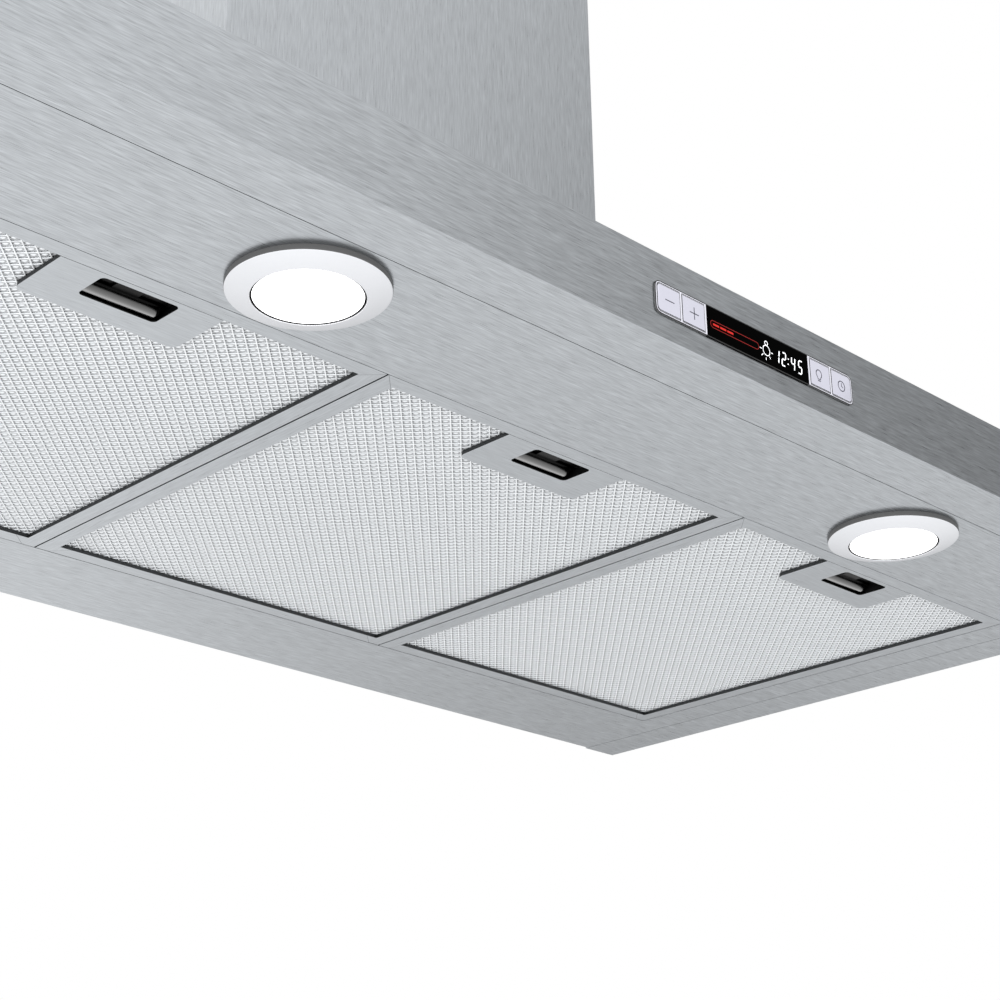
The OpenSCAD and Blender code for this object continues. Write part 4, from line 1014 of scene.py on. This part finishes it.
def lamp_lens(side):
    """A flat disc a little inside the ring, with its front edge rounded and its rear part black as painted
    shade.
    """
    lens_low, lens_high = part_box(f"lamp_{side}_lens")
    centre, _, radius = lamp_sizes(side)
    radius -= LENS_INSET
    face_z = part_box(f"lamp_{side}_ring")[0].z + LENS_DEPTH
    front = corner((0, face_z), (radius, face_z), (radius, lens_high.z), 0.3 * MM)
    rear = corner((radius, lens_low.z), (radius, lens_high.z), (0, lens_high.z), 0.2 * MM)
    disc = np.vstack([[(0, face_z)], front, rear, [(0, lens_high.z)]])
    mesh, centres = add_turned(f"lamp_{side}_lens", turned_disc(disc, centre), [lens_glow, bore_painted_shade])
    set_materials(mesh, centres[:, 2] > face_z + GLOW_DEPTH)
    return radius


for side in ("left", "right"):
    ring_radius, lens_radius = lamp_ring(side), lamp_lens(side)
    print("lamp", side, "ring radius", round(ring_radius / MM, 2), "lens radius", round(lens_radius / MM, 2))

# %% [markdown]
# ## Key strip
# The strip is a moulded rim with four keys and a gloss black window. Its icons are thin raised shapes:
# each one is a few strokes, and a stroke is a rectangle carried along a path in the plane of the front.

# %% Key strip bodies
INK_PROUD, RIM_SEAM, KEY_SEAM = 0.03 * MM, 0.05 * MM, 0.6 * MM
key_face_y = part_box("key_plus")[0].y + INK_PROUD


def bezel_faces(centres, normals):
    """Material 1 for what lies behind the canopy's face, and material 2, painted shade, for the sides of the
    rim.
    """
    return np.where(centres[:, 1] > front_y + RIM_SEAM, 1, 2 * (np.abs(normals[:, 1]) < 0.5))


def key_faces(centres, normals):
    """Material 1 for what lies behind the canopy's face."""
    return centres[:, 1] > front_y + KEY_SEAM


def set_back(mesh, least_y):
    """Moves points that stand in front of a depth back to it."""
    points = np.empty(3 * len(mesh.vertices), np.float32)
    mesh.vertices.foreach_get("co", points)
    points[1::3] = np.maximum(points[1::3], least_y)
    mesh.vertices.foreach_set("co", points)
    mesh.update()


eased("strip_bezel", 0.25 * MM, [rim_plastic, seam_plastic, rim_side_painted_shade], bezel_faces)
eased("display_window", 0.12 * MM, [window_glass])
for key in ("minus", "plus", "light", "timer"):
    cap = eased(f"key_{key}", 0.22 * MM, [key_plastic, seam_plastic], key_faces)
    set_back(cap.data, key_face_y)
print("key faces at", round(key_face_y / MM, 2), "mm, so that the ink stays in the CAD's box")

# %% Strokes and paths


def stroke(path, width, closed=False):
    """Two edges beside a path of (x, z) points, half a width to each side along its mean direction."""
    path = np.asarray(path, float)
    if closed:
        along = np.roll(path, -1, 0) - np.roll(path, 1, 0)
    else:
        along = np.vstack([path[1:], path[-1:]]) - np.vstack([path[:1], path[:-1]])
    along /= np.linalg.norm(along, axis=1, keepdims=True)
    across = np.stack([-along[:, 1], along[:, 0]], 1) * width / 2
    return path + across, path - across


def raised(path, width, face_y, depth, closed=False):
    """A stroke as a thin bar: its front lies on face_y, and it is depth thick."""
    left, right = stroke(path, width, closed)
    edges = ((left, face_y), (right, face_y), (right, face_y + depth), (left, face_y + depth))
    return sweep(np.stack([np.insert(edge, 1, y, axis=1) for edge, y in edges], 1), closed)


def arc(cx, cz, radius, start, end, steps=24):
    """Points on a circle between two angles in degrees: x = cx + r cos a, z = cz + r sin a."""
    angle = np.radians(np.linspace(start, end, steps + 1))
    return np.stack([cx + radius * np.cos(angle), cz + radius * np.sin(angle)], 1)


def circle(cx, cz, radius, steps=32):
    """The same points for a whole circle, without the doubled end."""
    return arc(cx, cz, radius, 0, 360 - 360 / steps, steps - 1)


def ellipse(cx, cz, half_width, half_height):
    """Points on an ellipse: x = cx + half_width cos a, z = cz + half_height sin a."""
    return [cx, cz] + circle(0, 0, 1, 30) * [half_width, half_height]


def bar(x0, z0, x1, z1):
    """A straight path."""
    return np.array([[x0, z0], [x1, z1]]), False


def plus_paths(x, z, arm):
    """A level bar and an upright one. The first alone is a minus."""
    return [bar(x - arm, z, x + arm, z), bar(x, z - arm, x, z + arm)]


def clock_paths(cx, cz, radius):
    """A clock: a circle with two hands."""
    hands = np.array([[0, 0.62], [0, 0], [0.45, -0.26]]) * radius
    return [(circle(cx, cz, radius), True), (hands + [cx, cz], False)]


def lamp_paths(cx, cz, radius):
    """A light bulb: a round glass that ends in a neck, and a line for its cap."""
    glass = arc(cx, cz + 0.3 * radius, radius, -55, 235)
    neck, foot, cap = 0.5 * radius, cz - radius, cz - 1.4 * radius
    return [(np.vstack([glass, [[cx - neck, foot], [cx + neck, foot]], glass[:1]]), False),
            bar(cx - neck, cap, cx + neck, cap)]


print("strokes ready")

# %% [markdown]
# Icons and seals ride with the node that they lie on. Their places are in millimetres from the hood's middle
# and its underside. The seals are the thin dark seams round the rim and round each key.

# %% Icons and seals
INK_DEPTH = 0.2 * MM
INK_WIDTH, RIM_SEAL, KEY_SEAL, SEAL_GAP = 0.5, 0.45, 0.40, 0.02
# Radii of the corners, on the left and on the right of each seal.
RIM, ROUND, SQUARE = 3.5, 2.3, 0.4
KEY_CORNERS = {"minus": (ROUND, SQUARE), "plus": (SQUARE, SQUARE),
               "light": (SQUARE, SQUARE), "timer": (SQUARE, ROUND)}
ICONS = {
    "minus": plus_paths(-61.0, 19.9, 3.2)[:1],
    "plus": plus_paths(-43.8, 19.8, 3.2),
    "light": lamp_paths(50.6, 19.8, 2.2),
    "timer": clock_paths(69.0, 19.9, 2.7),
}


def icon(name, paths, width, node, material):
    """Paths as thin strokes on a node's front face, but not past the CAD's box."""
    low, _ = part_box(node)
    shift, face_y = np.array([0, underside_z]), max(low.y - INK_PROUD, cad_box[0].y)
    parts = [raised(path * MM + shift, width * MM, face_y, INK_DEPTH, closed) for path, closed in paths]
    points, faces = gather(parts)
    return add_piece(name, mesh_from(name, points, faces, 20), body_of(node), [material])


def seal_path(node, left_r, right_r):
    """A closed path just outside a node's front, with its left and right corners rounded."""
    low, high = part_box(node)
    x0, x1 = low.x / MM - SEAL_GAP, high.x / MM + SEAL_GAP
    z0, z1 = (low.z - underside_z) / MM - SEAL_GAP, (high.z - underside_z) / MM + SEAL_GAP
    outline = [(x0, z0), (x1, z0), (x1, z1), (x0, z1)]
    return rounded_profile(outline, [left_r, right_r, right_r, left_r]), True


icon("strip_seal", [seal_path("strip_bezel", RIM, RIM)], RIM_SEAL, "strip_bezel", seam_plastic)
key_seals = [seal_path(f"key_{key}", *corners) for key, corners in KEY_CORNERS.items()]
icon("key_seals", key_seals, KEY_SEAL, "strip_bezel", seam_plastic)
for key, paths in ICONS.items():
    icon(f"icon_{key}", paths, INK_WIDTH, f"key_{key}", ink)
print("icons on the keys", len(ICONS))

# %% [markdown]
# The display shows a level bar, a bulb and the time. A digit has seven slanted strokes, a to g, and a table
# says which of them each digit of the time lights.

# %% Display
SEGMENTS = {"1": "bc", "2": "abged", "4": "fgbc", "5": "afgcd"}
DIGIT_W, DIGIT_H, SLANT, GAP_SHARE, UPRIGHT_GAP_SHARE = 2.6, 7.1, 0.14, 0.07, 0.098
DIGIT_STROKE, BULB_STROKE, LEVEL_STROKE, LIT_STROKE = 0.64, 0.36, 0.30, 1.0
TIME_Z = 15.55
TIME = [("1", 16.0), ("2", 21.1), ("4", 28.3), ("5", 33.9)]
COLON = [(26.1, 17.6), (26.5, 20.5)]
LEVEL_X, LEVEL_Z, LEVEL_RADIUS = (-32.0, 3.7), 19.3, 1.85
LIT_X, LIT_LENGTH = (-30.2, -25.0, -19.8), 4.4


def digit_paths(digit, x, z):
    """The lit strokes of a digit whose lower left corner is at x, z. Points lean right with their height."""
    w, h = DIGIT_W, DIGIT_H
    ends = {"a": (0, h, w, h), "b": (w, h, w, h / 2), "c": (w, h / 2, w, 0), "d": (0, 0, w, 0),
            "e": (0, 0, 0, h / 2), "f": (0, h / 2, 0, h), "g": (0, h / 2, w, h / 2)}
    paths = []
    for name in SEGMENTS[digit]:
        x0, z0, x1, z1 = ends[name]
        trim_x, trim_z = (x1 - x0) * GAP_SHARE, (z1 - z0) * UPRIGHT_GAP_SHARE
        corners = np.array([[x0 + trim_x, z0 + trim_z], [x1 - trim_x, z1 - trim_z]])
        corners[:, 0] += corners[:, 1] * SLANT
        paths.append((corners + [x, z], False))
    return paths


def capsule(x0, x1, z, radius):
    """The outline of a bar with round ends."""
    return np.vstack([arc(x1 - radius, z, radius, -90, 90, 12), arc(x0 + radius, z, radius, 90, 270, 12)])


def show(name, paths, width, material):
    """Strokes on the display window."""
    icon(f"display_{name}", paths, width, "display_window", material)


rays = [bar(4.5, 19.4, 6.0, 19.2), bar(5.4, 15.5, 6.9, 16.8), bar(8.9, 15.3, 8.8, 14.0),
        bar(11.4, 16.7, 12.4, 15.7), bar(12.9, 19.2, 14.4, 19.2)]
bulb = [(ellipse(9.5, 19.3, 2.6, 2.7), True), (ellipse(9.6, 23.2, 1.1, 1.1), True)]
digits = [path for digit, x in TIME for path in digit_paths(digit, x, TIME_Z)]
dots = [bar(x, z - DIGIT_STROKE / 2, x, z + DIGIT_STROKE / 2) for x, z in COLON]
show("time", digits, DIGIT_STROKE, digit_glow)
show("colon", dots, DIGIT_STROKE, digit_glow)
show("bulb", bulb + rays, BULB_STROKE, digit_glow)
show("level", [(capsule(*LEVEL_X, LEVEL_Z, LEVEL_RADIUS), True)], LEVEL_STROKE, red_dim)
show("level_lit", [bar(x, LEVEL_Z, x + LIT_LENGTH, LEVEL_Z) for x in LIT_X], LIT_STROKE, red_glow)
print("display done")

# %% [markdown]
# ## Chimney, blower and what hides inside
# The chimney covers are folded from the same steel, brushed upwards. The cabinet, the brackets and the back
# panel are galvanised sheet. All of them are folded or cast, so all get slightly rounded edges.

# %% Chimney, blower and the rest
eased("lower_chimney", 0.2 * MM, [chimney_steel], outer=0.9 * MM, segments=3)
eased("upper_chimney", 0.2 * MM, [chimney_steel], outer=0.9 * MM, segments=3)
REST = {
    "back_panel": (galvanised_steel, 0.2), "blower_cabinet": (galvanised_steel, 0.3),
    "motor_bracket": (galvanised_steel, 0.3), "chimney_bracket": (galvanised_steel, 0.3),
    "wall_hooks": (galvanised_steel, 0.4), "blower_scroll": (scroll_steel, 0.3),
    "motor": (motor_paint, 0.8), "outlet_collar": (collar_plastic, 0.3),
    "terminal_box": (box_plastic, 0.4), "cable_gland": (gland_plastic, 0.3),
    "flap_front": (flap_aluminium, 0.15), "flap_rear": (flap_aluminium, 0.15),
    "lamp_driver": (case_plastic, 0.5), "control_tray": (case_plastic, 0.3),
    "lamp_left_body": (lamp_casting, 0.25), "lamp_right_body": (lamp_casting, 0.25),
}
for node, (material, radius) in REST.items():
    eased(node, radius * MM, [material])
PLAIN = {
    "fan_wheel": wheel_steel, "motor_shaft": spring_steel, "flap_spindle": spring_steel,
    "lamp_clips": spring_steel, "control_board": circuit_green, "panel_screws": screw_steel,
    "cabinet_screws": screw_steel, "collar_screws": screw_steel, "chimney_screws": screw_steel,
    "bracket_screws": screw_steel,
}
for side in SIDES:
    PLAIN[f"filter_{side}_core"] = pleat_aluminium
    PLAIN[f"filter_{side}_spring"] = spring_steel
for node, material in PLAIN.items():
    nodes[node].data.materials.clear()
    nodes[node].data.materials.append(material)
print("eased", len(REST) + 2, "plain", len(PLAIN))

# %% [markdown]
# ## Light, floor and background
# Brushed steel shows the room it hangs in, so the room matters more than the lamps. The camera sees plain
# white. Every other ray sees a soft room that is pale on the left and below and gets dim to the right,
# which gives the steel its slow change of grey: with white all round it would look like paper. Two soft
# lights fill what is matt, and the steel does not mirror them, so it never burns out to white. The floor
# shows the shadow, but reflections and soft light pass through it, so the underside sees the whole room.

# %% Light, floor and background


def add_area(name, place, aim, size, power):
    """A square soft light at a place, turned to a point. It lights matt surfaces and is not mirrored."""
    light = bpy.data.lights.new(name, "AREA")
    light.size, light.energy = size, power
    lamp = bpy.data.objects.new(name, light)
    direction = Vector(aim) - Vector(place)
    lamp.matrix_world = Matrix.Translation(place) @ direction.to_track_quat("-Z", "Y").to_matrix().to_4x4()
    lamp.visible_glossy = False
    bpy.context.scene.collection.objects.link(lamp)


def studio_world(first, second, least, most):
    """White for camera rays. All other rays see a soft room, which is the brighter of two gradients, kept
    between least and most. A gradient (base, a, b, c) is base + a x + b y + c z of the ray's direction."""
    world = bpy.data.worlds.new("studio")
    bpy.context.scene.world = world
    world.use_nodes = True
    room = Nodes(world.node_tree)
    seen = room.node("ShaderNodeLightPath", out="Is Camera Ray")
    x, y, z = room.split(room.node("ShaderNodeTexCoord", out="Generated"))
    slopes = [base + x * a + y * b + z * c for base, a, b, c in (first, second)]
    wall = slopes[0].math("MAXIMUM", slopes[1]).math("MAXIMUM", least).math("MINIMUM", most)
    level = seen + (1 - seen) * wall
    background = world.node_tree.nodes["Background"]
    background.inputs["Color"].default_value = (1, 1, 1, 1)
    world.node_tree.links.new(level.socket, background.inputs["Strength"])


def add_floor(depth, half):
    """A pale plane below the hood that reaches to the horizon."""
    corners = [(-half, -half, depth), (half, -half, depth), (half, half, depth), (-half, half, depth)]
    mesh = mesh_from("floor", corners, [[0, 1, 2, 3]])
    floor = bpy.data.objects.new("floor", mesh)
    bpy.context.scene.collection.objects.link(floor)
    mesh.materials.append(moulded("floor_paint", grey(0.88), 0.7))
    floor.visible_glossy = floor.visible_diffuse = False


ROOM_BELOW = (-1.28, 0.96, -0.64, -4.65)
ROOM_LEFT = (2.08, -2.39, 0.0, 0.0)
studio_world(ROOM_BELOW, ROOM_LEFT, least=0.26, most=0.98)
add_floor(depth=-3.2, half=80.0)
add_area("light_left", (-2.2, -2.4, -1.2), aim=(0, -0.25, -0.2), size=2.8, power=90)
add_area("light_top", (0.8, -1.2, 3.0), aim=(0, -0.2, 0), size=2.5, power=24)
bpy.context.scene.view_settings.view_transform = "Standard"
